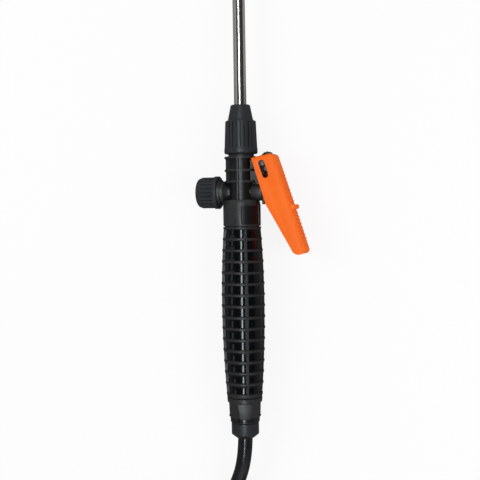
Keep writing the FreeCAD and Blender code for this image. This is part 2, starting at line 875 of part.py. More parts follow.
def trigger_lever():
    """The channel-shaped lever, open towards the handle and at its top."""
    body = put(new_body("trigger_lever"), ON_AXIS)
    across, rise = "(lever_crown_x - lever_heel_x)", "(lever_crown_y - lever_heel_y)"
    top_length = f"sqrt({across} ^ 2 + {rise} ^ 2)"
    # how far the crown's rounding runs along each of the two edges that meet there
    bend = f"({SLOT_X} * {across} - {SLOT_Y} * {rise}) / {top_length}"
    crown_run = f"(lever_crown_round * sqrt((1 - {bend}) / (1 + {bend})))"

    def side(sketch):
        outline(
            sketch,
            [
                ("lever_heel_x", "lever_heel_y"),
                ("lever_heel_x", "lever_heel_y - 1.2"),
                ("lever_knee_x", "lever_knee_y"),
                ("lever_inner_x", "lever_inner_y"),
                ("lever_tip_x", "lever_tip_y", "lever_tip_round"),
                ("lever_toe_x", "lever_toe_y", "lever_toe_round"),
                (f"lever_crown_x + {crown_run} * {SLOT_X}", f"lever_crown_y - {crown_run} * {SLOT_Y}"),
                (
                    f"lever_crown_x - {crown_run} * {across} / {top_length}",
                    f"lever_crown_y - {crown_run} * {rise} / {top_length}",
                    "lever_crown_round",
                ),
            ],
        )

    def channel(sketch):
        wall_x = f"lever_wall / {SLOT_Y}"
        outline(
            sketch,
            [
                ("lever_heel_x - 5", "lever_crown_y + 5"),
                (f"lever_crown_x - {wall_x} - 5 * tan(lever_slope)", "lever_crown_y + 5"),
                (f"lever_toe_x - {wall_x} - 1", "lever_toe_y + 3"),
                ("lever_tip_x - 1.7 * lever_wall", "lever_tip_y + 1.2 * lever_wall"),
                ("lever_inner_x - 8", "lever_tip_y + 1.2 * lever_wall"),
                ("lever_heel_x - 5", "lever_knee_y"),
            ],
        )

    def slot(sketch):
        half = "slot_half_width"
        outline(
            sketch,
            [
                down_slot("0", f"-{half}"),
                down_slot("slot_length", f"-{half}"),
                down_slot(f"slot_length + {half}", "0") + (half,),
                down_slot("slot_length", half) + (half,),
                down_slot("0", half),
                down_slot(f"-{half}", "0") + (half,),
                down_slot("0", f"-{half}") + (half,),
            ][1:],
        )

    def nub(sketch):
        back = f"(lever_crown_x - pivot_x) * {SLOT_Y} + (lever_crown_y - pivot_y) * {SLOT_X}"
        outline(
            sketch,
            [
                down_slot("nub_along", f"{back} - 1"),
                down_slot("nub_along + nub_thickness", f"{back} - 1"),
                down_slot("nub_along + nub_thickness", f"{back} + nub_height / 2"),
                down_slot("nub_along + 0.8", f"{back} + nub_height * 2 / 3")
                + ("nub_thickness / 2",),
            ],
        )

    extruded(body, side, "XY_Plane", "lever_width", middle=True)
    half_width = value("lever_width") / 2

    def outer_edge(edge, middle):
        line_x = value("lever_crown_x") + (value("lever_crown_y") - middle.y) * math.tan(
            math.radians(value("lever_slope"))
        )
        on_side = abs(abs(middle.z) - half_width) < 0.01
        return on_side and abs(middle.x - line_x) < 1.0

    rounded(body, "lever_edge_round", outer_edge)
    extruded(body, nub, "XY_Plane", "nub_width", middle=True)
    extruded(
        body, channel, "XY_Plane", "lever_width - 2 * lever_wall", cut=True, middle=True
    )
    extruded(body, slot, "XY_Plane", "2 * lever_width", cut=True, middle=True)
    return body


def pivot_pin():
    """The pin through the ears, with a wider end in the slot of each side of the lever."""
    body = put(new_body("pivot_pin"), ON_AXIS)

    def end(sketch):
        circle(sketch, "pivot_x", "pivot_y", "pin_radius")

    def head(sketch):
        circle(sketch, "pivot_x", "pivot_y", "slot_half_width - running_gap")

    extruded(body, end, "XY_Plane", "lever_width - 0.6", middle=True)
    start = "lever_width / 2 - lever_wall - 0.2"
    extruded(body, head, "XY_Plane", "pin_head_length", start)
    extruded(body, head, "XY_Plane", "pin_head_length", f"-({start})", reverse=True)
    return body


def lock_slide():
    """The catch inside the lever: two cheeks, a bridge with a thumb tab, and a boss each side."""
    body = put(new_body("lock_slide"), ON_AXIS)
    half = "lock_half_width"

    def cheeks(sketch):
        outline(
            sketch,
            [
                down_slot("lock_bridge_top", "lock_bridge_inner"),
                down_slot("-4", f"-{half}"),
                down_slot("lock_foot", f"-{half}"),
                down_slot("lock_foot", half),
                down_slot("-2", half),
                down_slot("lock_bridge_foot", "lock_bridge_outer"),
                down_slot("lock_bridge_top", "lock_bridge_outer"),
            ],
        )

    def between(sketch):
        outline(
            sketch,
            [
                down_slot("lock_bridge_top - 1", "-12"),
                down_slot("lock_foot + 5", "-12"),
                down_slot("lock_foot + 5", "12"),
                down_slot("lock_bridge_foot", "12"),
                down_slot("lock_bridge_foot", "lock_bridge_inner"),
                down_slot("lock_bridge_top - 1", "lock_bridge_inner"),
            ],
        )

    def boss(sketch):
        x, y = down_slot("lock_boss_along")
        circle(sketch, x, y, "lock_boss_radius")

    def pin_slot(sketch):
        room = "pin_radius + running_gap"
        outline(
            sketch,
            [
                down_slot("-lock_travel", room) + (room,),
                down_slot(f"-lock_travel - ({room})", "0") + (room,),
                down_slot("-lock_travel", f"-({room})") + (room,),
                down_slot("0", f"-({room})"),
                down_slot(room, "0") + (room,),
                down_slot("0", room) + (room,),
            ][1:]
            + [down_slot("-lock_travel", room)],
        )

    def notch(sketch):
        outline(
            sketch,
            [
                down_slot("lock_bridge_top - 1", "lock_bridge_inner + 1.0"),
                down_slot("lock_bridge_top + 0.8", "lock_bridge_inner + 1.0"),
                down_slot("lock_bridge_top + 0.8", "lock_bridge_inner + 1.8"),
                down_slot("lock_bridge_top - 1", "lock_bridge_inner + 1.8"),
            ],
        )

    extruded(body, cheeks, "XY_Plane", "2 * lock_outside", middle=True)
    extruded(body, boss, "XY_Plane", "2 * lock_boss_reach", middle=True)
    extruded(body, between, "XY_Plane", "2 * lock_inside", cut=True, middle=True)
    extruded(body, pin_slot, "XY_Plane", "4 * lock_outside", cut=True, middle=True)
    extruded(body, notch, "XY_Plane", "4 * lock_outside", cut=True, middle=True)
    return body


# ---------------------------------------------------------------- grip


def barrel_outline(inset, inner):
    """The grip's swelling outline: two arcs that meet, level, at the belly."""
    upper = (
        "((grip_top - grip_belly) ^ 2 / (grip_belly_radius - grip_top_radius)"
        " + grip_belly_radius - grip_top_radius) / 2"
    )
    lower = (
        "((grip_belly - grip_foot) ^ 2 / (grip_belly_radius - grip_foot_radius)"
        " + grip_belly_radius - grip_foot_radius) / 2"
    )
    return [
        (inner, "grip_foot"),
        (f"grip_foot_radius - {inset}", "grip_foot"),
        (f"grip_belly_radius - {inset}", "grip_belly", lower),
        (f"grip_top_radius - {inset}", "grip_top", upper),
        (inner, "grip_top"),
    ]


def grip():
    """A hollow sleeve with thin rings and four long ribs round a smooth, recessed core."""
    core = put(new_body("grip_core"), GRIP_PLACE)
    turned(core, barrel_outline("grip_cell_depth", "grip_bore"))
    envelope = put(new_body("grip_envelope"), GRIP_PLACE)
    turned(envelope, barrel_outline("0", "grip_bore + 1"))
    inner_envelope = put(new_body("grip_rib_envelope"), GRIP_PLACE)
    turned(inner_envelope, barrel_outline("grip_rib_inset", "grip_bore + 1"))
    length = "grip_top - grip_foot"
    rings = put(new_body("grip_rings"), GRIP_PLACE)

    def spine(sketch):
        circle(sketch, "0", "0", "grip_bore")

    def disc(sketch):
        circle(sketch, "0", "0", "2 * grip_belly_radius")

    def rib(sketch):
        half = "grip_rib_width / 2"
        reach = "2 * grip_belly_radius"
        outline(sketch, box_points(f"-{half}", half, f"-{reach}", reach))

    extruded(rings, spine, "XZ_Plane", length, "-grip_top")
    ring = extruded(rings, disc, "XZ_Plane", "grip_ring_thickness", "-grip_top")
    along(rings, ring, "grip_rings", f"{length} - grip_ring_thickness", reverse=True)
    ribs = put(new_body("grip_ribs"), GRIP_PLACE)
    ribs_pad = extruded(ribs, rib, "XZ_Plane", length, "-grip_top")
    around(ribs, ribs_pad, "4")
    cut_rings = doc.addObject("Part::MultiCommon", "rings_in_outline")
    cut_rings.Shapes = [envelope, rings]
    cut_ribs = doc.addObject("Part::MultiCommon", "ribs_in_outline")
    cut_ribs.Shapes = [inner_envelope, ribs]
    whole = doc.addObject("Part::MultiFuse", "grip")
    whole.Shapes = [core, cut_rings, cut_ribs]
    whole.Label = "grip"
    return whole


def end_collar():
    """The tapered collar below the grip, with a snap window each side and a flat tongue in front."""
    body = put(new_body("end_collar"), END_PLACE)
    turned(
        body,
        [
            ("grip_bore", "end_foot"),
            ("end_foot_radius - 0.4", "end_foot"),
            ("end_foot_radius", "end_foot + 0.4"),
            ("end_top_radius", "end_top - 0.5"),
            ("end_top_radius - 0.5", "end_top"),
            ("grip_bore", "end_top"),
        ],
    )
    window = turned(
        body,
        [
            ("grip_bore - 1", "end_window_foot"),
            ("end_top_radius + 2", "end_window_foot"),
            ("end_top_radius + 2", "end_window_top"),
            ("grip_bore - 1", "end_window_top"),
        ],
        cut=True,
        angle="end_window_angle",
        about_middle=True,
    )
    around(body, window, "2")

    def tongue(sketch):
        top, foot = "end_window_top", "end_foot"
        outline(
            sketch,
            [
                ("-tongue_top_width / 2", top),
                ("-tongue_foot_width / 2", foot),
                ("tongue_foot_width / 2", foot),
                ("tongue_top_width / 2", top),
            ],
        )

    extruded(body, tongue, "XY_Plane", "end_top_radius + tongue_height - grip_bore - 1", "grip_bore + 1")
    return body


def hose_fitting():
    """The snap-in end piece: stem, two lugs, a stepped shoulder, a thread and the hose's barb."""
    body = put(new_body("hose_fitting"), END_PLACE)
    stem = "grip_bore - running_gap"
    turned(
        body,
        [
            ("fitting_bore", "fitting_stem_top"),
            ("fitting_bore", "hose_nut_foot"),
            ("barb_radius", "hose_nut_foot"),
            ("barb_radius", "fitting_thread_foot"),
            ("fitting_thread_radius", "fitting_thread_foot"),
            ("fitting_thread_radius", "fitting_foot"),
            ("fitting_radius - 0.7", "fitting_foot"),
            ("fitting_radius - 0.2", "fitting_foot + 0.5"),
            ("fitting_radius", "end_foot - touch_gap"),
            (stem, "end_foot - touch_gap"),
            (stem, "fitting_stem_top"),
        ],
    )
    lug = turned(
        body,
        [
            ("grip_bore - 1", "end_window_foot + seat_gap"),
            ("lug_radius", "end_window_foot + seat_gap"),
            ("lug_radius + 0.4", "end_window_top - seat_gap"),
            ("grip_bore - 1", "end_window_top - seat_gap"),
        ],
        angle="end_window_angle - 4",
        about_middle=True,
    )
    around(body, lug, "2")
    return body


def hose_nut():
    body = put(new_body("hose_nut"), ON_AXIS)
    bore = "fitting_thread_radius + running_gap"
    hole = "hose_radius + running_gap"
    turned(
        body,
        [
            (bore, "hose_nut_top"),
            ("hose_nut_radius - 0.3", "hose_nut_top"),
            ("hose_nut_radius", "hose_nut_top - 0.3"),
            ("hose_nut_radius", "hose_nut_shoulder"),
            ("hose_nut_nose_radius", "hose_nut_foot"),
            (hole, "hose_nut_foot"),
            (hole, "fitting_thread_foot - seat_gap"),
            (bore, "fitting_thread_foot - seat_gap"),
        ],
    )
    return body


def strainer_frame():
    """The cage that holds the strainer: a collar under the valve stem, four bars and an end."""
    body = put(new_body("strainer_frame"), ON_AXIS)
    inner = "strainer_radius + strainer_wall + touch_gap"
    turned(
        body,
        [
            ("inlet_radius", "strainer_top - strainer_collar"),
            ("grip_bore - seat_gap", "strainer_top - strainer_collar"),
            ("grip_bore - seat_gap", "strainer_top"),
            ("inlet_radius", "strainer_top"),
        ],
    )

    def bar(sketch):
        outline(sketch, box_points("-0.8", "0.8", inner, f"{inner} + 1.4"))

    length = "strainer_top - strainer_foot"
    bars = extruded(body, bar, "XZ_Plane", length, "-strainer_top")
    around(body, bars, "strainer_ribs")

    def end(sketch):
        circle(sketch, "0", "0", f"{inner} + 1.4")

    extruded(body, end, "XZ_Plane", "2", "-strainer_foot")
    return body


def strainer_mesh():
    body = put(new_body("strainer_mesh"), ON_AXIS)
    outer = "strainer_radius + strainer_wall"
    low, high = "strainer_foot", "strainer_top - strainer_collar"
    turned(body, [("strainer_radius", low), (outer, low), (outer, high), ("strainer_radius", high)])
    return body


# ---------------------------------------------------------------- nozzle


def plain_ring(label, place, start, end, inner, outer):
    """A plain ring about its own Y axis."""
    body = put(new_body(label), place)
    turned(body, [(inner, start), (outer, start), (outer, end), (inner, end)])
    return body


def tip_nut():
    """The ribbed nut that clamps the nozzle to the tube's tip."""
    body = put(new_body("tip_nut"), NOZZLE_PLACE)
    bore = "tip_thread_radius + running_gap"
    hole = "tube_radius + running_gap"
    turned(
        body,
        [
            (hole, "tip_nut_start"),
            ("tip_nut_radius - 2", "tip_nut_start"),
            ("tip_nut_radius", "tip_nut_start + 2.4"),
            ("tip_nut_radius", "tip_nut_end"),
            (bore, "tip_nut_end"),
            (bore, "tip_spigot_start - 2.2"),
            (hole, "tip_spigot_start - 2.2"),
        ],
    )
    floor = "tip_nut_radius - nut_groove_depth"
    grooved_ring(body, floor, "tip_nut_end - 1", "tip_nut_end - tip_nut_start - 3.4")
    return body


def nozzle_body():
    """The moulding between tube and nozzle cap, with a thread at each end."""
    body = put(new_body("nozzle_body"), NOZZLE_PLACE)
    socket = "tube_radius + running_gap"
    stop = "tube_tip_length + touch_gap"
    turned(
        body,
        [
            (socket, "tip_spigot_start"),
            ("tip_thread_radius", "tip_spigot_start"),
            ("tip_thread_radius", "nozzle_flange_start"),
            ("nozzle_flange_radius", "nozzle_flange_start"),
            ("nozzle_flange_radius", "nozzle_flange_end"),
            ("nozzle_thread_radius", "nozzle_flange_end"),
            ("nozzle_thread_radius", "nozzle_thread_end"),
            ("swirl_radius + touch_gap", "nozzle_thread_end"),
            ("swirl_radius + touch_gap", "swirl_start"),
            ("1.6", "swirl_start"),
            ("1.6", stop),
            (socket, stop),
        ],
    )
    return body


def nozzle_cap():
    """The knurled cap with the spray orifice, turned to set the cone."""
    body = put(new_body("nozzle_cap"), NOZZLE_PLACE)
    bore = "nozzle_thread_radius + running_gap"
    turned(
        body,
        [
            (bore, "nozzle_cap_start"),
            ("nozzle_cap_radius - 0.4", "nozzle_cap_start"),
            ("nozzle_cap_radius", "nozzle_cap_start + 0.4"),
            ("nozzle_cap_radius", "nozzle_cap_end"),
            ("nozzle_cap_radius - 2.6", "nozzle_cap_end"),
            ("nozzle_orifice + 0.8", "nozzle_cap_end - 1.8"),
            ("nozzle_orifice", "nozzle_cap_end - 1.8"),
            ("nozzle_orifice", "nozzle_cap_floor"),
            (bore, "nozzle_cap_floor"),
        ],
    )
    floor = "nozzle_cap_radius - nut_groove_depth / 2"
    grooved_ring(body, floor, "nozzle_cap_end - 4", "nozzle_cap_end - nozzle_cap_start - 8")
    return body


def swirl_core():
    """The small core that sets the water spinning behind the orifice."""
    body = put(new_body("swirl_core"), NOZZLE_PLACE)
    turned(
        body,
        [
            ("0", "swirl_start + touch_gap"),
            ("swirl_radius", "swirl_start + touch_gap"),
            ("swirl_radius", "nozzle_thread_end + 0.6"),
            ("swirl_radius - 0.8", "nozzle_thread_end + 1.6"),
            ("0", "nozzle_thread_end + 1.6"),
        ],
    )

    def slot(sketch):
        low = "swirl_radius - 0.8"
        outline(sketch, box_points("-0.4", "0.4", low, "swirl_radius + 1"))

    length = "nozzle_thread_end + 2 - swirl_start"
    cut = extruded(body, slot, "XZ_Plane", length, "-(nozzle_thread_end + 2)", cut=True, reverse=True)
    around(body, cut, "2")
    return body


# ---------------------------------------------------------------- hose


def rounded_route(points):
    """A wire of straight runs joined by tangent arcs, each as large as its two runs allow."""
    edges = []
    start = points[0]
    for i in range(1, len(points) - 1):
        before, corner, after = points[i - 1], points[i], points[i + 1]
        inward = (before - corner).normalize()
        outward = (after - corner).normalize()
        half_turn = (math.pi - inward.getAngle(outward)) / 2
        back = 0.45 * min((before - corner).Length, (after - corner).Length)
        radius = back / math.tan(half_turn)
        first = corner + inward * back
        last = corner + outward * back
        centre = corner + (inward + outward).normalize() * (radius / math.cos(half_turn))
        top = centre + (corner - centre).normalize() * radius
        edges.append(Part.LineSegment(start, first).toShape())
        edges.append(Part.Arc(first, top, last).toShape())
        print(f"hose bend {i}: radius {radius:.1f}, turn {math.degrees(2 * half_turn):.1f}")
        start = last
    edges.append(Part.LineSegment(start, points[-1]).toShape())
    return Part.Wire(edges)


def hose():
    """The stretch of hose between the fitting and the coil, bored for the fitting's barb."""
    radius = value("hose_radius")
    path = rounded_route([Vector(*p) for p in HOSE_ROUTE])
    heading = Vector(*HOSE_ROUTE[1]) - Vector(*HOSE_ROUTE[0])
    section = Part.Wire(Part.makeCircle(radius, Vector(*HOSE_ROUTE[0]), heading))
    solid = path.makePipeShell([section], True, False)
    wanted = math.pi * radius**2 * path.Length
    print(f"hose run: {path.Length:.1f} long, volume {solid.Volume:.0f} against {wanted:.0f}")
    barb_length = value("fitting_thread_foot - hose_nut_foot") + 0.2
    barb = Part.makeCylinder(
        value("barb_radius + running_gap"),
        barb_length + 5,
        Vector(0, HOSE_ROUTE[0][1] + 5, value("grip_belly_radius")),
        Vector(0, -1, 0),
    )
    tube = doc.addObject("Part::Feature", "hose")
    tube.Shape = solid.cut(barb)
    tube.Label = "hose"
    bind(tube, "Placement", "placement(vector(-origin_x; -origin_y; 0); rotation(vector(0; 0; 1); 0))")
    return tube


def hose_coil():
    """The coiled length as one plain solid: two full turns and the part of a third on top."""
    body = put(new_body("hose_coil"), COIL_CENTRE.format("coil_start_angle"))
    inner, outer = "coil_radius - hose_radius", "coil_radius + hose_radius"

    def section(low, high):
        round_off = "coil_corner"
        return [
            (f"{inner} + {round_off}", low),
            (f"{outer} - {round_off}", low),
            (outer, f"{low} + {round_off}"),
            (outer, f"{high} - {round_off}"),
            (f"{outer} - {round_off}", high),
            (f"{inner} + {round_off}", high),
            (inner, f"{high} - {round_off}"),
            (inner, f"{low} + {round_off}"),
        ]

    two_turns = "2 * hose_radius + turn_height"
    turned(body, section("0", two_turns), role="XZ_Plane")
    third = section(f"{two_turns} - 2 * coil_corner", f"{two_turns} + turn_height")
    turned(body, third, role="XZ_Plane", angle="360 * (coil_turns - 2)")
    return body


def hose_tie():
    """A strap round the bundle of turns."""
    body = put(new_body("hose_tie"), COIL_CENTRE.format("coil_start_angle + tie_angle"))
    inner = "coil_radius - hose_radius - touch_gap"
    outer = "coil_radius + hose_radius + touch_gap"
    top = "2 * hose_radius + 2 * turn_height + touch_gap"
    wall = "tie_thickness"
    outside = box_points(f"{inner} - {wall}", f"{outer} + {wall}", f"-touch_gap - {wall}", f"{top} + {wall}")
    inside = box_points(inner, outer, "-touch_gap", top)
    turned(body, outside, role="XZ_Plane", angle="tie_spread", about_middle=True)
    turned(body, inside, role="XZ_Plane", angle="tie_spread", about_middle=True, cut=True)
    return body


def tank_tail():
    """The hose tail of the tank connector, held by the swivel nut at its flange."""
    body = put(new_body("tank_tail"), CONNECTOR_PLACE)
    turned(
        body,
        [
            ("fitting_bore", "0"),
            ("tail_collar_radius", "0"),
            ("tail_collar_radius", "tail_collar"),
            ("tail_neck_radius", "tail_collar"),
            ("tail_neck_radius", "tank_nut_floor"),
            ("tail_flange_radius", "tank_nut_floor + seat_gap"),
            ("tail_flange_radius", "tail_flange_end"),
            ("fitting_bore", "tail_flange_end"),
        ],
    )
    return body


def tank_nut():
    """The swivel nut that screws on to the tank's outlet."""
    body = put(new_body("tank_nut"), CONNECTOR_PLACE)
    hole = "tail_neck_radius + running_gap"
    turned(
        body,
        [
            (hole, "tank_nut_start"),
            ("tank_nut_radius - 2", "tank_nut_start"),
            ("tank_nut_radius", "tank_nut_start + 2"),
            ("tank_nut_radius", "tank_nut_end - 0.6"),
            ("tank_nut_radius - 0.6", "tank_nut_end"),
            ("tank_thread_radius", "tank_nut_end"),
            ("tank_thread_radius", "tail_flange_end + washer_thickness"),
            ("tank_thread_radius + 0.5", "tail_flange_end + washer_thickness"),
            ("tank_thread_radius + 0.5", "tank_nut_floor"),
            (hole, "tank_nut_floor"),
        ],
    )
    floor = "tank_nut_radius - nut_groove_depth"
    grooved_ring(body, floor, "tank_nut_end - 3", "tank_nut_end - tank_nut_start - 6")
    return body


# ---------------------------------------------------------------- the assembly


def make_pieces():
    nodes = [
        lance_tube(),
        lance_nut(),
        lance_ferrule(),
        ring_of_wire(
            "lance_seal",
            ON_AXIS,
            "tube_radius + seal_wire",
            "seal_seat + seal_wire + touch_gap",
            "seal_wire - touch_gap",
        ),
        valve_body(),
        spindle(),
        valve_disc(),
        barrel_ring(
            "seat_washer",
            "washer_start + touch_gap",
            "chamber_end - touch_gap",
            "spindle_radius + touch_gap",
            "disc_radius - 0.1",
        ),
        valve_spring(),
        barrel_ring(
            "spindle_seal",
            "oring_seat + touch_gap",
            "gland_seat - touch_gap",
            "spindle_radius + running_gap",
            "gland_radius - touch_gap",
        ),
        spindle_gland(),
        valve_cap(),
        barrel_ring(
            "cap_gasket",
            "-cap_floor + touch_gap",
            "-spigot_end - touch_gap",
            "gasket_radius",
            "cap_thread_radius - seat_gap",
        ),
        trigger_lever(),
        pivot_pin(),
        lock_slide(),
        grip(),
        plain_ring(
            "grip_seal",
            ON_AXIS,
            "grip_top + touch_gap",
            "collar_foot - touch_gap",
            "stem_radius + running_gap",
            "collar_radius - 1.2",
        ),
        end_collar(),
        hose_fitting(),
        hose_nut(),
        strainer_frame(),
        strainer_mesh(),
        tip_nut(),
        plain_ring(
            "tip_ferrule",
            NOZZLE_PLACE,
            "tip_spigot_start - 2.1",
            "tip_spigot_start - touch_gap",
            "tube_radius + touch_gap",
            "tip_thread_radius - touch_gap",
        ),
        nozzle_body(),
        nozzle_cap(),
        swirl_core(),
        plain_ring(
            "nozzle_seal",
            NOZZLE_PLACE,
            "nozzle_flange_end + touch_gap",
            "nozzle_cap_start - touch_gap",
            "nozzle_thread_radius + running_gap",
            "nozzle_cap_radius - 1",
        ),
        hose(),
        hose_coil(),
        hose_tie(),
        tank_tail(),
        tank_nut(),
        plain_ring(
            "tank_washer",
            CONNECTOR_PLACE,
            "tail_flange_end + touch_gap",
            "tail_flange_end + washer_thickness",
            "fitting_bore",
            "tank_thread_radius - 2 * running_gap",
        ),
    ]
    return nodes


def check_document():
    for item in doc.Objects:
        if "Invalid" in item.State or "Error" in item.State:
            raise RuntimeError(f"{item.Name} ({item.Label}) failed: {item.State}")


def centre_origin(nodes):
    """Put the frame's origin under the middle of the object's box, without the hose's own pieces."""
    doc.recompute()
    boxes = [n.Shape.BoundBox for n in nodes if n.Label not in CORD_LABELS]
    middle_x = (min(b.XMin for b in boxes) + max(b.XMax for b in boxes)) / 2
    middle_y = (min(b.YMin for b in boxes) + max(b.YMax for b in boxes)) / 2
    names = list(SIZES)
    for name, number in (("origin_x", middle_x), ("origin_y", middle_y)):
        sheet.set(f"B{names.index(name) + 1}", f"{number:.4f}")
    doc.recompute()
    print(f"origin at {middle_x:.4f}, {middle_y:.4f}")


def write_parts(nodes):
    os.makedirs("parts", exist_ok=True)
    for node in nodes:
        shape = node.Shape
        if shape.isNull() or not shape.isValid() or not shape.Solids:
            raise RuntimeError(f"{node.Label} has no valid solid")
        shape.exportStep(f"parts/{node.Label}.step")


pieces = make_pieces()
centre_origin(pieces)
check_document()
write_parts(pieces)
coiled = 2 * math.pi * value("coil_radius") * value("coil_turns")
print(f"coiled length {coiled:.0f}, nozzle turned {value(TIP_TURN):.3f} degrees")
print(f"coil's end at {value(COIL_END_ANGLE):.3f} degrees, connector axis at height"
      f" {value(CONNECTOR_HEIGHT + ' + tie_thickness + touch_gap'):.4f}")
print(f"{len(pieces)} parts written")
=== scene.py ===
"""Looks of a sprayer's hand lance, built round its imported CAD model.

Lengths are written in millimetres and turned into metres by MM, except the lamps' places and sizes,
the finishes' heights and the hose's length, which are in metres. The lance's own axis runs along +Y
and its trigger is on the +X side; Places reads where that axis is from the CAD nodes.
"""

import logging
import math
from dataclasses import dataclass
from enum import Enum
from functools import cached_property
from typing import Callable, ClassVar, Iterable, Optional, Sequence, Union

import bmesh
import bpy
from mathutils import Matrix, Vector


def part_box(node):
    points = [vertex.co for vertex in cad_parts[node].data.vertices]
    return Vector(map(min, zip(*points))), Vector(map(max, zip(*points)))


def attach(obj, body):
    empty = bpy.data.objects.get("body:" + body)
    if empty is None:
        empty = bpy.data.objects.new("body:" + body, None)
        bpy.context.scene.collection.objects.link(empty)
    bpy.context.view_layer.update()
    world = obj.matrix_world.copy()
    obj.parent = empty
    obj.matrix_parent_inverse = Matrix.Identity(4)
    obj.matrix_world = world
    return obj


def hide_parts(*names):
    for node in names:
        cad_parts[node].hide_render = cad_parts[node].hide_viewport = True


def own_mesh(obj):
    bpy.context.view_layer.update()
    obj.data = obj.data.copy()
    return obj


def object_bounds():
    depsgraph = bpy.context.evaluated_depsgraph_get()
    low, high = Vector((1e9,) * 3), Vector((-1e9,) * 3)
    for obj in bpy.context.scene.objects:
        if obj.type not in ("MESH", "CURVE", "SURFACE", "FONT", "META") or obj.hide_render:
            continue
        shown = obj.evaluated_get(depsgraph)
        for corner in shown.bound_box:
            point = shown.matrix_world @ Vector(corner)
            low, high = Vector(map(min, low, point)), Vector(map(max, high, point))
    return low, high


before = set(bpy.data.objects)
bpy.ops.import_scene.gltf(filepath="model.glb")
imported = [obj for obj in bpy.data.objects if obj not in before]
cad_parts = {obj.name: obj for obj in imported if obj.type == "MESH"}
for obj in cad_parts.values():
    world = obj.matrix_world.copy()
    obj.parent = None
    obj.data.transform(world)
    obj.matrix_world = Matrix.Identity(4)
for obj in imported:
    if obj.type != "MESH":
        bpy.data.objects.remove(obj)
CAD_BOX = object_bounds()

logging.basicConfig(level=logging.INFO, format="%(message)s")
log = logging.getLogger("lance")

MM = 0.001
FULL_TURN = 2 * math.pi
FLAT = math.radians(0.6)
SMOOTH = math.radians(32.0)
# The face attribute that marks sunk faces: recess floors, grooves and cells, where shade is painted
SUNK = "sunk"
WHITE_LIGHT = (1.0, 1.0, 1.0)
Colour = tuple[float, float, float]
Triple = tuple[float, float, float]
Pair = tuple[float, float]
Profile = Sequence[Pair]


class Body(str, Enum):
    """The CAD bodies that pieces ride on."""

    ROOT = "root"
    TRIGGER = "trigger"
    LOCK = "lock"
    LANCE_NUT = "lance_nut"
    VALVE_CAP = "valve_cap"
    HOSE_NUT = "hose_nut"
    TIP_NUT = "tip_nut"
    NOZZLE_CAP = "nozzle_cap"
    TANK_NUT = "tank_nut"


# ------------------------------------------------------------------ shader maths


class Term:
    """A shader socket, or what an expression of sockets and numbers gives."""

    def __init__(self, graph: "Graph", socket: Optional[bpy.types.NodeSocket]) -> None:
        """Wraps one output socket of a graph's node, or none for a node that ends a graph."""
        self.graph = graph
        self.socket = socket

    def _maths(self, operation: str, *values: "Value") -> "Term":
        """Adds a Math node for one operation."""
        return self.graph.node("ShaderNodeMath", {"operation": operation}, dict(enumerate(values)))

    def __add__(self, other: "Value") -> "Term":
        """self + other"""
        return self._maths("ADD", self, other)

    def __radd__(self, other: "Value") -> "Term":
        """other + self"""
        return self._maths("ADD", other, self)

    def __sub__(self, other: "Value") -> "Term":
        """self - other"""
        return self._maths("SUBTRACT", self, other)

    def __rsub__(self, other: "Value") -> "Term":
        """other - self"""
        return self._maths("SUBTRACT", other, self)

    def __mul__(self, other: "Value") -> "Term":
        """self * other"""
        return self._maths("MULTIPLY", self, other)

    def __rmul__(self, other: "Value") -> "Term":
        """other * self"""
        return self._maths("MULTIPLY", other, self)

    def higher(self, other: "Value") -> "Term":
        """The larger of self and other."""
        return self._maths("MAXIMUM", self, other)

    def between(self, low: float, high: float) -> "Term":
        """A smooth step.

        Args:
            low: where it starts.
            high: where it ends.

        Returns:
            0 below low, 1 above high, and what is between them.
        """
        settings = {"interpolation_type": "SMOOTHSTEP"}
        inputs = {"Value": self, "From Min": low, "From Max": high}
        return self.graph.node("ShaderNodeMapRange", settings, inputs)


Value = Union[float, Term]


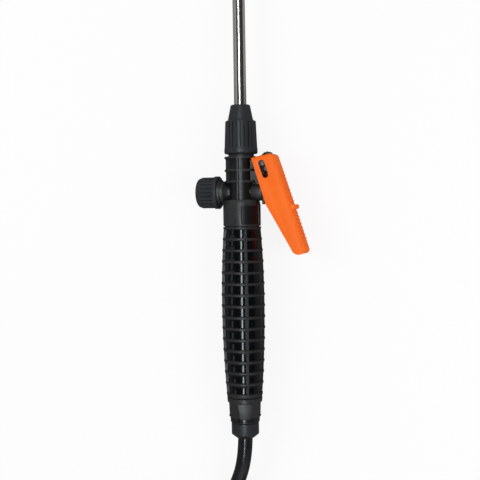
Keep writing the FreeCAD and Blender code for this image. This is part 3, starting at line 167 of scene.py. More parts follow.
class Graph:
    """The nodes of one material or of the world."""

    def __init__(self, tree: bpy.types.NodeTree) -> None:
        """Starts from an empty tree."""
        self.tree = tree
        tree.nodes.clear()

    def node(
        self,
        kind: str,
        settings: Optional[dict] = None,
        inputs: Optional[dict] = None,
        output: Union[int, str, None] = 0,
    ) -> Term:
        """Adds a node.

        Args:
            kind: the node's type.
            settings: its properties, set before its sockets.
            inputs: values or terms for its sockets, by name or number.
            output: the socket that is wanted.

        Returns:
            The wanted output socket.
        """
        made = self.tree.nodes.new(kind)
        for key, setting in (settings or {}).items():
            setattr(made, key, setting)
        for key, given in (inputs or {}).items():
            if isinstance(given, Term):
                self.tree.links.new(given.socket, made.inputs[key])
            else:
                made.inputs[key].default_value = given
        return Term(self, None if output is None else made.outputs[output])

    def end(self, kind: str, surface: Term) -> None:
        """Adds the output node, fed by a surface."""
        self.node(kind, None, {"Surface": surface}, output=None)

    @cached_property
    def place(self) -> Term:
        """The point on the object, in metres."""
        return self.node("ShaderNodeTexCoord", output="Object")

    def stretched(self, scale: Sequence[float]) -> Term:
        """The object's point with each axis scaled, so that a pattern runs along one of them."""
        return self.node("ShaderNodeMapping", None, {"Vector": self.place, "Scale": scale})

    def noise(self, scale: float, detail: float = 3.0, vector: Optional[Term] = None) -> Term:
        """Noise from 0 to 1, with that many features to a metre."""
        inputs = {"Vector": vector or self.place, "Scale": scale, "Detail": detail}
        return self.node("ShaderNodeTexNoise", None, inputs)

    def drift(self) -> Term:
        """Broad patches from 0 to 1, in which a moulding's colour drifts."""
        return self.noise(38.0).between(0.3, 0.7)

    def flow(self) -> Term:
        """Patches of a few millimetres from 0 to 1, in which a moulding's gloss changes."""
        return self.noise(160.0, 4.0).between(0.35, 0.75)

    def mixed(
        self, factor: Value, first: Union[Colour, Term], second: Union[Colour, Term]
    ) -> Term:
        """Mixes two colours.

        Args:
            factor: how much of the second colour there is.
            first: the colour at 0.
            second: the colour at 1.

        Returns:
            The colour between them.
        """
        low, high = (c if isinstance(c, Term) else (*c, 1.0) for c in (first, second))
        inputs = {0: factor, 6: low, 7: high}
        return self.node("ShaderNodeMix", {"data_type": "RGBA"}, inputs, output=2)

    def bump(self, height: Term, strength: float, distance: float) -> Term:
        """A normal that follows a height of that many metres."""
        inputs = {"Strength": strength, "Distance": distance, "Height": height}
        return self.node("ShaderNodeBump", None, inputs)


def new_material(name: str) -> tuple[bpy.types.Material, Graph]:
    """Makes an empty material.

    Args:
        name: the material's name.

    Returns:
        The material, and the graph of its nodes.
    """
    material = bpy.data.materials.new(name)
    material.use_nodes = True
    return material, Graph(material.node_tree)


# ------------------------------------------------------------------ finishes


class Surface:
    """What all finishes share: each gives Principled sockets, and becomes one material."""

    name: str

    def fixed(self) -> dict:
        """The sockets that are the same all over."""
        raise NotImplementedError

    def varying(self, graph: Graph) -> dict:
        """The sockets that vary over the surface."""
        raise NotImplementedError

    @cached_property
    def material(self) -> bpy.types.Material:
        """The finish's material.

        Returns:
            The material, made once.
        """
        material, graph = new_material(self.name)
        sockets = {**self.fixed(), **self.varying(graph)}
        shader = graph.node("ShaderNodeBsdfPrincipled", None, sockets)
        graph.end("ShaderNodeOutputMaterial", shader)
        return material


@dataclass(frozen=True)
class Moulded(Surface):
    """A moulded plastic: its colour drifts a little, and its skin has a fine grain."""

    name: str
    colour: Colour
    tint: Colour
    roughness: float
    grain: float = 0.05
    gloss: float = 0.0
    ior: float = 1.5
    flow_roughness: float = 0.1
    skin_roughness: float = 0.06
    skin_scale: float = 5200.0
    pore_scale: float = 1500.0
    pore_share: float = 0.6
    skin_height: float = 0.00012

    def fixed(self) -> dict:
        """The refraction, and a thin gloss on top."""
        return {"IOR": self.ior, "Coat Weight": self.gloss, "Coat Roughness": 0.12}

    def varying(self, graph: Graph) -> dict:
        """Colour, roughness and skin, from noise at several scales.

        Args:
            graph: the material's graph.

        Returns:
            The sockets.
        """
        drift, flow = graph.drift(), graph.flow()
        skin = graph.noise(self.skin_scale, 2.0)
        height = skin + self.pore_share * graph.noise(self.pore_scale, 2.0)
        patches = self.flow_roughness * (flow - 0.5) + self.skin_roughness * (skin - 0.5)
        return {
            "Base Color": graph.mixed(drift, self.colour, self.tint),
            "Roughness": self.roughness + patches,
            "Normal": graph.bump(height, self.grain, self.skin_height),
        }


@dataclass(frozen=True)
class RecessShaded(Surface):
    """A moulded plastic, matt on its raised faces, with painted shade on its sunk ones: their
    darker colour stands in for the shade in the recesses.
    """

    name: str
    raised: Colour
    tint: Colour
    # sunk: a painted shade colour for the sunk faces, darker than raised
    sunk: Colour
    raised_roughness: float
    sunk_roughness: float
    raised_flow: float = 0.1
    sunk_flow: float = 0.04
    sunk_smoothness: float = 0.7
    grain: float = 0.12
    ior: float = 1.5
    skin_scale: float = 4200.0
    skin_height: float = 0.00012

    def fixed(self) -> dict:
        """The refraction."""
        return {"IOR": self.ior}

    def varying(self, graph: Graph) -> dict:
        """Colour and roughness by the piece's own attribute, with a skin on its raised faces and
        painted shade, a darker colour, on its sunk ones.

        Args:
            graph: the material's graph.

        Returns:
            The sockets.
        """
        # sunk marks the faces where shade is painted
        sunk = graph.node("ShaderNodeAttribute", {"attribute_name": SUNK}, output="Fac")
        raised = graph.mixed(graph.drift(), self.raised, self.tint)
        flow = graph.flow()
        skin = graph.noise(self.skin_scale, 2.0) * (1 - self.sunk_smoothness * sunk)
        raised_rough = self.raised_roughness + self.raised_flow * (flow - 0.5)
        sunk_rough = self.sunk_roughness + self.sunk_flow * flow
        return {
            # Painted shade: the sunk faces take the darker sunk colour
            "Base Color": graph.mixed(sunk, raised, self.sunk),
            "Roughness": raised_rough + sunk * (sunk_rough - raised_rough),
            "Normal": graph.bump(skin, self.grain, self.skin_height),
        }


@dataclass(frozen=True)
class Metal(Surface):
    """A metal with fine lines along or round the lance."""

    name: str
    colour: Colour
    stain: Colour
    roughness: float
    line_scale: Triple = (2600.0, 40.0, 2600.0)
    line_roughness: float = 0.12
    line_strength: float = 0.06
    line_height: float = 0.00006
    stain_scale: float = 90.0
    stain_roughness: float = 0.06

    def fixed(self) -> dict:
        """Metal all over."""
        return {"Metallic": 1.0}

    def varying(self, graph: Graph) -> dict:
        """Drawn or turned lines over a faint stain.

        Args:
            graph: the material's graph.

        Returns:
            The sockets.
        """
        lines = graph.noise(1.0, 3.0, graph.stretched(self.line_scale))
        stain = graph.noise(self.stain_scale, 4.0).between(0.45, 0.8)
        wear = self.line_roughness * (lines - 0.5) + self.stain_roughness * stain
        return {
            "Base Color": graph.mixed(stain, self.colour, self.stain),
            "Roughness": self.roughness + wear,
            "Normal": graph.bump(lines, self.line_strength, self.line_height),
        }


@dataclass(frozen=True)
class Woven(Surface):
    """A fine wire screen."""

    name: str
    colour: Colour
    gap: Colour = (0.1, 0.1, 0.1)
    wires_per_metre: float = 1800.0
    bands_in_scale: float = 20.0
    roughness: float = 0.35
    wire_strength: float = 0.5
    wire_height: float = 0.0002

    def fixed(self) -> dict:
        """Bare wire all over."""
        return {"Metallic": 1.0, "Roughness": self.roughness}

    def varying(self, graph: Graph) -> dict:
        """Crossing wires as height and shade.

        Args:
            graph: the material's graph.

        Returns:
            The sockets.
        """
        inputs = {"Vector": graph.place, "Scale": self.wires_per_metre / self.bands_in_scale}
        round_wires, cross_wires = (
            graph.node(
                "ShaderNodeTexWave", {"wave_type": "BANDS", "bands_direction": direction}, inputs
            )
            for direction in ("Y", "DIAGONAL")
        )
        height = round_wires.higher(cross_wires)
        return {
            "Base Color": graph.mixed(height.between(0.3, 0.8), self.gap, self.colour),
            "Normal": graph.bump(height, self.wire_strength, self.wire_height),
        }


class Finish(Enum):
    """The finishes of the lance, by the record's material slots."""

    BODY = RecessShaded(
        "moulding_black",
        raised=(0.019, 0.019, 0.02),
        tint=(0.023, 0.021, 0.0215),
        # sunk: painted shade on the floors between the rings and of the windows
        sunk=(0.0035, 0.0035, 0.004),
        raised_roughness=0.42,
        sunk_roughness=0.36,
    )
    NUT = RecessShaded(
        "nut_black",
        raised=(0.015, 0.017, 0.021),
        tint=(0.019, 0.019, 0.022),
        # sunk: painted shade in the grooves between the ribs
        sunk=(0.0015, 0.0015, 0.002),
        raised_roughness=0.42,
        sunk_roughness=0.5,
    )
    GRIP = RecessShaded(
        "grip_black",
        raised=(0.015, 0.0155, 0.017),
        tint=(0.019, 0.017, 0.018),
        # sunk: painted shade in the cells between the rings and ribs
        sunk=(0.002, 0.0025, 0.003),
        raised_roughness=0.46,
        sunk_roughness=0.12,
    )
    FITTING = Moulded(
        "fitting_black", (0.008, 0.008, 0.009), (0.012, 0.011, 0.011), 0.3, grain=0.05, gloss=0.1
    )
    ORANGE = Moulded("lever_orange", (0.97, 0.158, 0.004), (0.94, 0.145, 0.004), 0.5, ior=1.33)
    WHITE = Moulded("ferrule_white", (0.72, 0.7, 0.64), (0.66, 0.64, 0.58), 0.42)
    RUBBER = Moulded(
        "seal_rubber", (0.014, 0.014, 0.014), (0.022, 0.021, 0.02), 0.62, grain=0.15
    )
    NYLON = Moulded("tie_nylon", (0.03, 0.03, 0.031), (0.038, 0.037, 0.036), 0.5, grain=0.12)
    HOSE = Moulded(
        "hose_pvc", (0.008, 0.008, 0.01), (0.013, 0.011, 0.012), 0.28, grain=0.06, gloss=0.15
    )
    TUBE = Metal("lance_steel", (0.66, 0.63, 0.59), (0.58, 0.54, 0.49), 0.2)
    PIN = Metal("pin_steel", (0.14, 0.145, 0.15), (0.09, 0.09, 0.09), 0.5, (1500.0, 1500.0, 60.0))
    SPRING = Metal("spring_steel", (0.6, 0.6, 0.6), (0.5, 0.49, 0.47), 0.28)
    BRASS = Metal("brass_parts", (0.75, 0.52, 0.22), (0.58, 0.38, 0.16), 0.3)
    SCREEN = Woven("mesh_steel", (0.62, 0.62, 0.6))

    @property
    def material(self) -> bpy.types.Material:
        """The finish's material."""
        return self.value.material

    @property
    def slot(self) -> str:
        """The record's material slot."""
        return self.value.name


# ------------------------------------------------------------------ places


@dataclass(frozen=True)
class Places:
    """Where the lance's own lines are, as the CAD nodes give them."""

    ferrule_past_bend: float = 6.44

    @staticmethod
    def middle(node: str) -> Vector:
        """The middle of a node's box."""
        low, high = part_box(node)
        return (low + high) / 2

    @cached_property
    def on_axis(self) -> Matrix:
        """The lance's axis, with its origin level with the middle of the valve's barrel."""
        nut, rod = self.middle("lance_nut"), self.middle("spindle")
        return Matrix.Translation((nut.x, rod.y, nut.z))

    @cached_property
    def along_barrel(self) -> Matrix:
        """As on_axis, with Y turned to run along the valve's barrel."""
        return self.on_axis @ Matrix.Rotation(-math.pi / 2, 4, "Z")

    @cached_property
    def nozzle(self) -> Matrix:
        """The nozzle's own axis.

        Returns:
            The frame with Y along the nozzle and its origin at the end of the tube's bend.
        """
        ferrule, seal = self.middle("tip_ferrule"), self.middle("nozzle_seal")
        along = (seal - ferrule).normalized()
        start = ferrule - along * self.ferrule_past_bend * MM
        across = along.cross(Vector((0, 0, 1))).normalized()
        turned = Matrix((across, along, across.cross(along))).transposed()
        return Matrix.Translation(start) @ turned.to_4x4()


PLACES = Places()


# ------------------------------------------------------------------ shapes


def eased(x: float) -> float:
    """A smooth step from 0 at 0 to 1 at 1, flat outside."""
    x = min(max(x, 0), 1)
    return x * x * (3 - 2 * x)


def shown(name: str, data: bpy.types.ID) -> bpy.types.Object:
    """Makes an object and puts it in the scene.

    Args:
        name: the object's name.
        data: its mesh, curve, lamp or camera.

    Returns:
        The object.
    """
    made = bpy.data.objects.new(name, data)
    bpy.context.scene.collection.objects.link(made)
    return made


class Shape:
    """A mesh in the making: millimetres in, bmesh operators to shape it."""

    def __init__(self) -> None:
        """An empty shape."""
        self.bm = bmesh.new()

    @classmethod
    def turned(cls, profile: Profile, steps: int = 96, rounding: float = 0.3) -> "Shape":
        """A shape turned about Y.

        Args:
            profile: radius and place along Y of each corner; the last corner joins the first.
            steps: faces in a full turn.
            rounding: how far the corners are rounded, in millimetres.

        Returns:
            The turned shape, its faces pointing outwards.
        """
        made = cls()
        bm = made.bm
        bm.faces.layers.float.new(SUNK)
        corners = [bm.verts.new((r * MM, y * MM, 0)) for r, y in profile]
        for pair in zip(corners, corners[1:] + corners[:1]):
            bm.edges.new(pair)
        off_axis = [v for v in bm.verts if v.co.x > 1e-6]
        made.bevel(off_axis, rounding, affect="VERTICES")
        bmesh.ops.spin(
            bm,
            geom=bm.verts[:] + bm.edges[:],
            axis=(0, 1, 0),
            cent=(0, 0, 0),
            angle=FULL_TURN,
            steps=steps,
            use_merge=True,
        )
        return made.merged()

    @classmethod
    def copied(cls, node: str) -> "Shape":
        """Copies a CAD node's mesh.

        Args:
            node: the node's name.

        Returns:
            Its shape, with its triangles merged into flat faces.
        """
        made = cls()
        made.bm.from_mesh(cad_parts[node].data)
        made.bm.faces.layers.float.new(SUNK)
        made.merged(1e-7)
        bmesh.ops.dissolve_limit(
            made.bm, angle_limit=FLAT, verts=made.bm.verts[:], edges=made.bm.edges[:]
        )
        return made

    @classmethod
    def block(cls, size: Sequence[float], middle: Sequence[float], rounding: float) -> "Shape":
        """A block with rounded edges.

        Args:
            size: its lengths along X, Y and Z.
            middle: where its middle is.
            rounding: how far its edges are rounded.

        Returns:
            The block.
        """
        made = cls()
        bmesh.ops.create_cube(made.bm, size=1.0)
        bmesh.ops.scale(made.bm, vec=Vector(size) * MM, verts=made.bm.verts[:])
        made.bevel(made.bm.edges[:], rounding)
        return made.moved(Matrix.Translation(Vector(middle) * MM))

    def merged(self, distance: float = 1e-6) -> "Shape":
        """Merges doubled corners, and points every face outwards.

        Args:
            distance: how near they are, in metres.

        Returns:
            This shape.
        """
        bmesh.ops.remove_doubles(self.bm, verts=self.bm.verts[:], dist=distance)
        bmesh.ops.recalc_face_normals(self.bm, faces=self.bm.faces[:])
        return self

    def bevel(
        self, geometry: Iterable, width: float, segments: int = 2, affect: str = "EDGES"
    ) -> "Shape":
        """Rounds edges or corners.

        Args:
            geometry: the edges or vertices.
            width: how far the rounding reaches, in millimetres.
            segments: the steps of the rounding.
            affect: "EDGES" or "VERTICES".

        Returns:
            This shape.
        """
        bmesh.ops.bevel(
            self.bm,
            geom=list(geometry),
            offset=width * MM,
            offset_type="OFFSET",
            segments=segments,
            profile=0.5,
            affect=affect,
            clamp_overlap=True,
            material=-1,
        )
        return self

    def soften(self, width: float, sharper: float = 38.0, segments: int = 2) -> "Shape":
        """Rounds every sharp edge.

        Args:
            width: how far the rounding reaches, in millimetres.
            sharper: the angle in degrees above which an edge is sharp.
            segments: the steps of the rounding.

        Returns:
            This shape.
        """
        limit = math.radians(sharper)
        closed = (edge for edge in self.bm.edges if len(edge.link_faces) == 2)
        edges = [edge for edge in closed if edge.calc_face_angle(0) > limit]
        return self.bevel(edges, width, segments)

    def columns(
        self, steps: int, wanted: Callable[[int], bool], shortest: float
    ) -> list[bmesh.types.BMFace]:
        """The long outer faces of a turned shape, by their place round it.

        Args:
            steps: faces in the shape's full turn.
            wanted: whether a column, counted round the axis from +X, is wanted.
            shortest: the least length along Y in millimetres.

        Returns:
            The faces.
        """
        found = []
        for face in self.bm.faces:
            heights = [v.co.y for v in face.verts]
            middle = face.calc_center_median()
            outward = face.normal.x * middle.x + face.normal.z * middle.z > 0
            if outward and max(heights) - min(heights) >= shortest * MM:
                angle = math.atan2(-middle.z, middle.x) % FULL_TURN
                if wanted(int(angle / FULL_TURN * steps)):
                    found.append(face)
        return found

    def sunk(
        self, faces: list[bmesh.types.BMFace], depth: float, slope: float, apart: bool = True
    ) -> "Shape":
        """Sinks faces into the shape and marks them as sunk, where shade is painted.

        Args:
            faces: the faces.
            depth: how far they sink, in millimetres.
            slope: how much narrower they get on each side, in millimetres.
            apart: whether each sinks by itself, or else with its neighbours.

        Returns:
            This shape.
        """
        self.bm.normal_update()
        mark = self.bm.faces.layers.float[SUNK]
        inset = {"faces": faces, "thickness": slope * MM, "depth": -depth * MM}
        if apart:
            bmesh.ops.inset_individual(self.bm, **inset)
        else:
            bmesh.ops.inset_region(self.bm, **inset, use_even_offset=True)
        for face in faces:
            face[mark] = 1.0
        return self

    def marked(self, wanted: Callable[[Vector, Vector], bool]) -> "Shape":
        """Marks faces as sunk, where shade is painted.

        Args:
            wanted: whether a face with a middle and a normal is to be marked.

        Returns:
            This shape.
        """
        mark = self.bm.faces.layers.float[SUNK]
        for face in self.bm.faces:
            if wanted(face.calc_center_median(), face.normal):
                face[mark] = 1.0
        return self

    def moved(self, matrix: Matrix) -> "Shape":
        """Moves the whole shape."""
        bmesh.ops.transform(self.bm, matrix=matrix, verts=self.bm.verts[:])
        return self

    def joined(self, other: "Shape") -> "Shape":
        """Adds another shape's mesh to this one.

        Args:
            other: the other shape, which is used up.

        Returns:
            This shape.
        """
        mesh = bpy.data.meshes.new("joined")
        other.bm.to_mesh(mesh)
        other.bm.free()
        self.bm.from_mesh(mesh)
        bpy.data.meshes.remove(mesh)
        return self

    def piece(
        self, name: str, finish: Finish, body: Body, replaced: Sequence[str] = ()
    ) -> bpy.types.Object:
        """Makes the shape an object that rides on a body.

        Args:
            name: the piece's name.
            finish: its finish.
            body: the CAD body it rides on.
            replaced: the CAD nodes it stands for.

        Returns:
            The object.
        """
        mesh = bpy.data.meshes.new(name)
        self.bm.to_mesh(mesh)
        self.bm.free()
        mesh.shade_smooth()
        mesh.set_sharp_from_angle(angle=SMOOTH)
        return settle(shown(name, mesh), finish, body, replaced)


def settle(
    made: bpy.types.Object, finish: Finish, body: Body, replaced: Sequence[str] = ()
) -> bpy.types.Object:
    """Gives a piece what it needs besides its shape, and reports it.

    Args:
        made: the piece.
        finish: its finish.
        body: the CAD body it rides on.
        replaced: the CAD nodes it stands for.

    Returns:
        The piece.
    """
    made.data.materials.clear()
    made.data.materials.append(finish.material)
    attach(made, body.value)
    if replaced:
        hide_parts(*replaced)
    log.info("%s rides on %s", made.name, body.value)
    return made


def softened(
    node: str,
    name: str,
    finish: Finish,
    body: Body,
    width: float,
    sharper: float = 38.0,
    segments: int = 2,
) -> bpy.types.Object:
    """Makes a piece from a CAD node by rounding its sharp edges.

    Args:
        node: the CAD node that it copies and stands for.
        name: the piece's name.
        finish: its finish.
        body: the CAD body it rides on.
        width: how far the rounding reaches, in millimetres.
        sharper: the angle in degrees above which an edge is sharp.
        segments: the steps of the rounding.

    Returns:
        The piece.
    """
    shape = Shape.copied(node).soften(width, sharper, segments)
    return shape.piece(name, finish, body, (node,))


# ------------------------------------------------------------------ studio


@dataclass(frozen=True)
class Lamp:
    """A flat lamp that faces the grip, in metres and watts.

    It shows only in reflections, or else it only lights the surfaces. Its place is from the spot
    that the camera aims at, and its size is its width across the lance and its length.
    """

    name: str
    place: Triple
    size: Pair
    watts: float
    gloss: bool
    colour: Colour = WHITE_LIGHT

    def hang(self, target: Vector) -> None:
        """Hangs the lamp.

        Args:
            target: the spot that it faces.
        """
        data = bpy.data.lights.new(self.name, "AREA")
        data.shape = "RECTANGLE"
        data.size, data.size_y = self.size
        data.energy = self.watts
        data.color = self.colour
        lamp = shown(self.name, data)
        lamp.location = target + Vector(self.place)
        lamp.rotation_mode = "QUATERNION"
        facing = (lamp.location - target).normalized()
        side = Vector((0, 1, 0)).cross(facing).normalized()
        turned = Matrix((side, facing.cross(side), facing)).transposed()
        lamp.rotation_quaternion = turned.to_quaternion()
        lamp.visible_glossy = self.gloss
        lamp.visible_diffuse = not self.gloss


STRIP_COLOUR = (0.88, 0.98, 1.0)
LAMPS = (
    Lamp("overhead_strip", (0.12, 0.0, 0.9), (0.09, 1.3), 5.6, True, STRIP_COLOUR),
    Lamp("left_strip", (-0.85, -0.15, 0.55), (0.16, 0.5), 0.2, True, STRIP_COLOUR),
    Lamp("tube_strip", (-0.75, 0.32, 0.45), (0.6, 0.36), 0.26, True, STRIP_COLOUR),
    Lamp("left_softbox", (-0.9, 0.3, 0.9), (0.7, 0.9), 7.2, False),
    Lamp("right_softbox", (1.0, -0.2, 0.7), (0.6, 0.9), 7.2, False),
)


@dataclass
class Studio:
    """Camera, lamps, floor and world."""

    lean: float = 16.0
    distance: float = 713.0
    lens: float = 65.9
    foot: float = -12.7
    aim: float = -38.7
    aside: float = -1.95
    roll: float = 0.92
    floor_size: float = 6000.0
    floor_white: float = 0.86
    floor_share: float = 0.88
    floor_in_gloss: Pair = (0.05, 0.3)
    tube_start: Pair = (60.0, 110.0)
    room: float = 0.5
    room_in_gloss: float = 0.03
    left_in_gloss: float = 0.05
    left_edge: Pair = (0.45, 0.95)
    ends_in_gloss: float = 0.45
    ends_edge: Pair = (0.14, 0.5)

    @property
    def target(self) -> Vector:
        """The spot on the lance's axis that the lamps face."""
        return PLACES.on_axis @ Vector((0, self.aim * MM, 0))

    def camera(self) -> None:
        """A camera above the grip, leaning towards the trigger's side."""
        lean, roll = math.radians(self.lean), math.radians(self.roll)
        back = Vector((math.sin(lean), 0, math.cos(lean)))
        right = Vector((math.cos(lean), 0, -math.sin(lean)))
        foot = PLACES.on_axis @ Vector((0, self.foot * MM, 0))
        spot = foot + back * self.distance * MM
        ahead = (self.target + right * self.aside * MM - spot).normalized()
        level = ahead.cross(Vector((0, 1, 0))).normalized()
        up = level.cross(ahead)
        top = up * math.cos(roll) + level * math.sin(roll)
        side = ahead.cross(top).normalized()
        turned = Matrix((side, top, -ahead)).transposed().to_4x4()
        camera = shown("camera", bpy.data.cameras.new("camera"))
        camera.data.lens = self.lens
        camera.matrix_world = Matrix.Translation(spot) @ turned
        bpy.context.scene.camera = camera

    def seen(self, graph: Graph) -> tuple[Term, Term]:
        """Tells a graph how it is being looked at.

        Args:
            graph: the graph.

        Returns:
            Whether the camera or clear glass sees it directly, and whether a gloss sees it, as 1
            or 0 each.
        """
        camera, clear, gloss = (
            graph.node("ShaderNodeLightPath", output=f"Is {kind} Ray")
            for kind in ("Camera", "Transmission", "Glossy")
        )
        return camera.higher(clear), gloss

    def floor(self) -> None:
        """A white floor that keeps the object's shadow; a gloss sees it as pale by the tube."""
        bm = bmesh.new()
        bmesh.ops.create_grid(bm, x_segments=1, y_segments=1, size=self.floor_size / 2 * MM)
        mesh = bpy.data.meshes.new("floor")
        bm.to_mesh(mesh)
        bm.free()
        floor = shown("floor", mesh)
        low, high = CAD_BOX
        floor.location = ((low.x + high.x) / 2, (low.y + high.y) / 2, low.z)
        material, graph = new_material("floor_white")
        white = (self.floor_white, self.floor_white, self.floor_white, 1.0)
        matt = graph.node("ShaderNodeBsdfDiffuse", None, {"Color": white})
        directly, in_gloss = self.seen(graph)
        along = graph.node("ShaderNodeSeparateXYZ", None, {0: graph.place}, output=1)
        level = PLACES.on_axis.translation.y - floor.location.y
        start, end = (level + y * MM for y in self.tube_start)
        dark, pale = self.floor_in_gloss
        strength = directly + in_gloss * (dark + (pale - dark) * along.between(start, end))
        inputs = {"Color": (*WHITE_LIGHT, 1.0), "Strength": strength}
        glow = graph.node("ShaderNodeEmission", None, inputs)
        share = self.floor_share * (directly + in_gloss)
        surface = graph.node("ShaderNodeMixShader", None, {0: share, 1: matt, 2: glow})
        graph.end("ShaderNodeOutputMaterial", surface)
        mesh.materials.append(material)

    def world(self) -> None:
        """A soft pale room, which a gloss sees as dark but for its ends and its left side."""
        world = bpy.data.worlds.new("room")
        world.use_nodes = True
        graph = Graph(world.node_tree)
        ray = graph.node("ShaderNodeTexCoord", output="Generated")
        across, along = (
            graph.node("ShaderNodeSeparateXYZ", None, {0: ray}, output=axis) for axis in (0, 1)
        )
        left = (0 - across).between(*self.left_edge)
        ends = (along * along).between(*self.ends_edge)
        directly, in_gloss = self.seen(graph)
        gloss = self.room_in_gloss + self.left_in_gloss * left + self.ends_in_gloss * ends
        strength = self.room + (1 - self.room) * directly + in_gloss * (gloss - self.room)
        inputs = {"Color": (*WHITE_LIGHT, 1.0), "Strength": strength}
        light = graph.node("ShaderNodeBackground", None, inputs)
        graph.end("ShaderNodeOutputWorld", light)
        bpy.context.scene.world = world

    def build(self) -> None:
        """Sets up the whole studio."""
        bpy.context.scene.view_settings.view_transform = "Standard"
        self.world()
        self.floor()
        self.camera()
        for lamp in LAMPS:
            lamp.hang(self.target)


# ------------------------------------------------------------------ sub-assemblies


class SubAssembly:
    """Pieces that are made together, and the CAD nodes that keep their mesh among them."""

    kept: ClassVar[dict[str, Finish]] = {}

    def build(self) -> None:
        """Makes the pieces."""
        raise NotImplementedError

    def dress(self) -> None:
        """Gives the CAD nodes that stay their finish."""
        for node, finish in self.kept.items():
            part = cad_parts[node]
            part.data.materials.clear()
            part.data.materials.append(finish.material)
            log.info("%s keeps its CAD mesh", node)


def ribbed(profile: Profile, place: Matrix, shortest: float, depth: float = 0.9) -> Shape:
    """A turned nut with narrow grooves between its ribs, marked as sunk so that its finish can
    paint shade in them.

    Args:
        profile: radius and place along the axis of each corner.
        place: where its axis is.
        shortest: the least length of a grooved face in millimetres.
        depth: how deep the grooves are.

    Returns:
        The nut.
    """
    grooves, columns_in_rib, slope = 24, 4, 0.1
    steps = grooves * columns_in_rib
    made = Shape.turned(profile, steps)
    faces = made.columns(steps, lambda column: column % columns_in_rib == 0, shortest)
    made.sunk(faces, depth, slope).soften(0.14, 42.0)
    half_column = Matrix.Rotation(-math.pi / steps, 4, "Y")
    return made.moved(place @ half_column)


@dataclass
class Lance(SubAssembly):
    """The steel tube and the nut that clamps it."""

    foot: float = 30.9
    shoulder: float = 57.5
    tip: float = 70.3
    band: float = 13.5
    band_top: float = 35.3
    rib_top: float = 12.4
    cone_foot: Pair = (10.0, 59.2)
    nose: float = 7.9
    thread: Pair = (10.45, 52.4)
    inner_cone: tuple[Pair, Pair] = ((7.4, 60.0), (8.6, 53.0))
    hole: float = 5.05
    kept: ClassVar[dict[str, Finish]] = {
        "lance_tube": Finish.TUBE,
        "lance_ferrule": Finish.WHITE,
        "lance_seal": Finish.RUBBER,
    }

    def build(self) -> None:
        """Makes the clamp nut."""
        thread, thread_end = self.thread
        profile = [
            (thread, self.foot),
            (self.band - 0.8, self.foot),
            (self.band, self.foot + 0.8),
            (self.band, self.band_top - 0.3),
            (self.band - 0.25, self.band_top),
            (self.rib_top, self.shoulder - 0.6),
            (self.rib_top - 0.6, self.shoulder),
            (self.cone_foot[0] + 0.4, self.shoulder),
            self.cone_foot,
            (self.nose, self.tip - 0.6),
            (self.nose - 0.6, self.tip),
            (self.hole, self.tip),
            (self.hole, self.inner_cone[0][1]),
            *self.inner_cone,
            (thread, thread_end),
        ]
        nut = ribbed(profile, PLACES.on_axis, 15.0)
        nut.piece("lance_clamp_nut", Finish.NUT, Body.LANCE_NUT, ("lance_nut",))


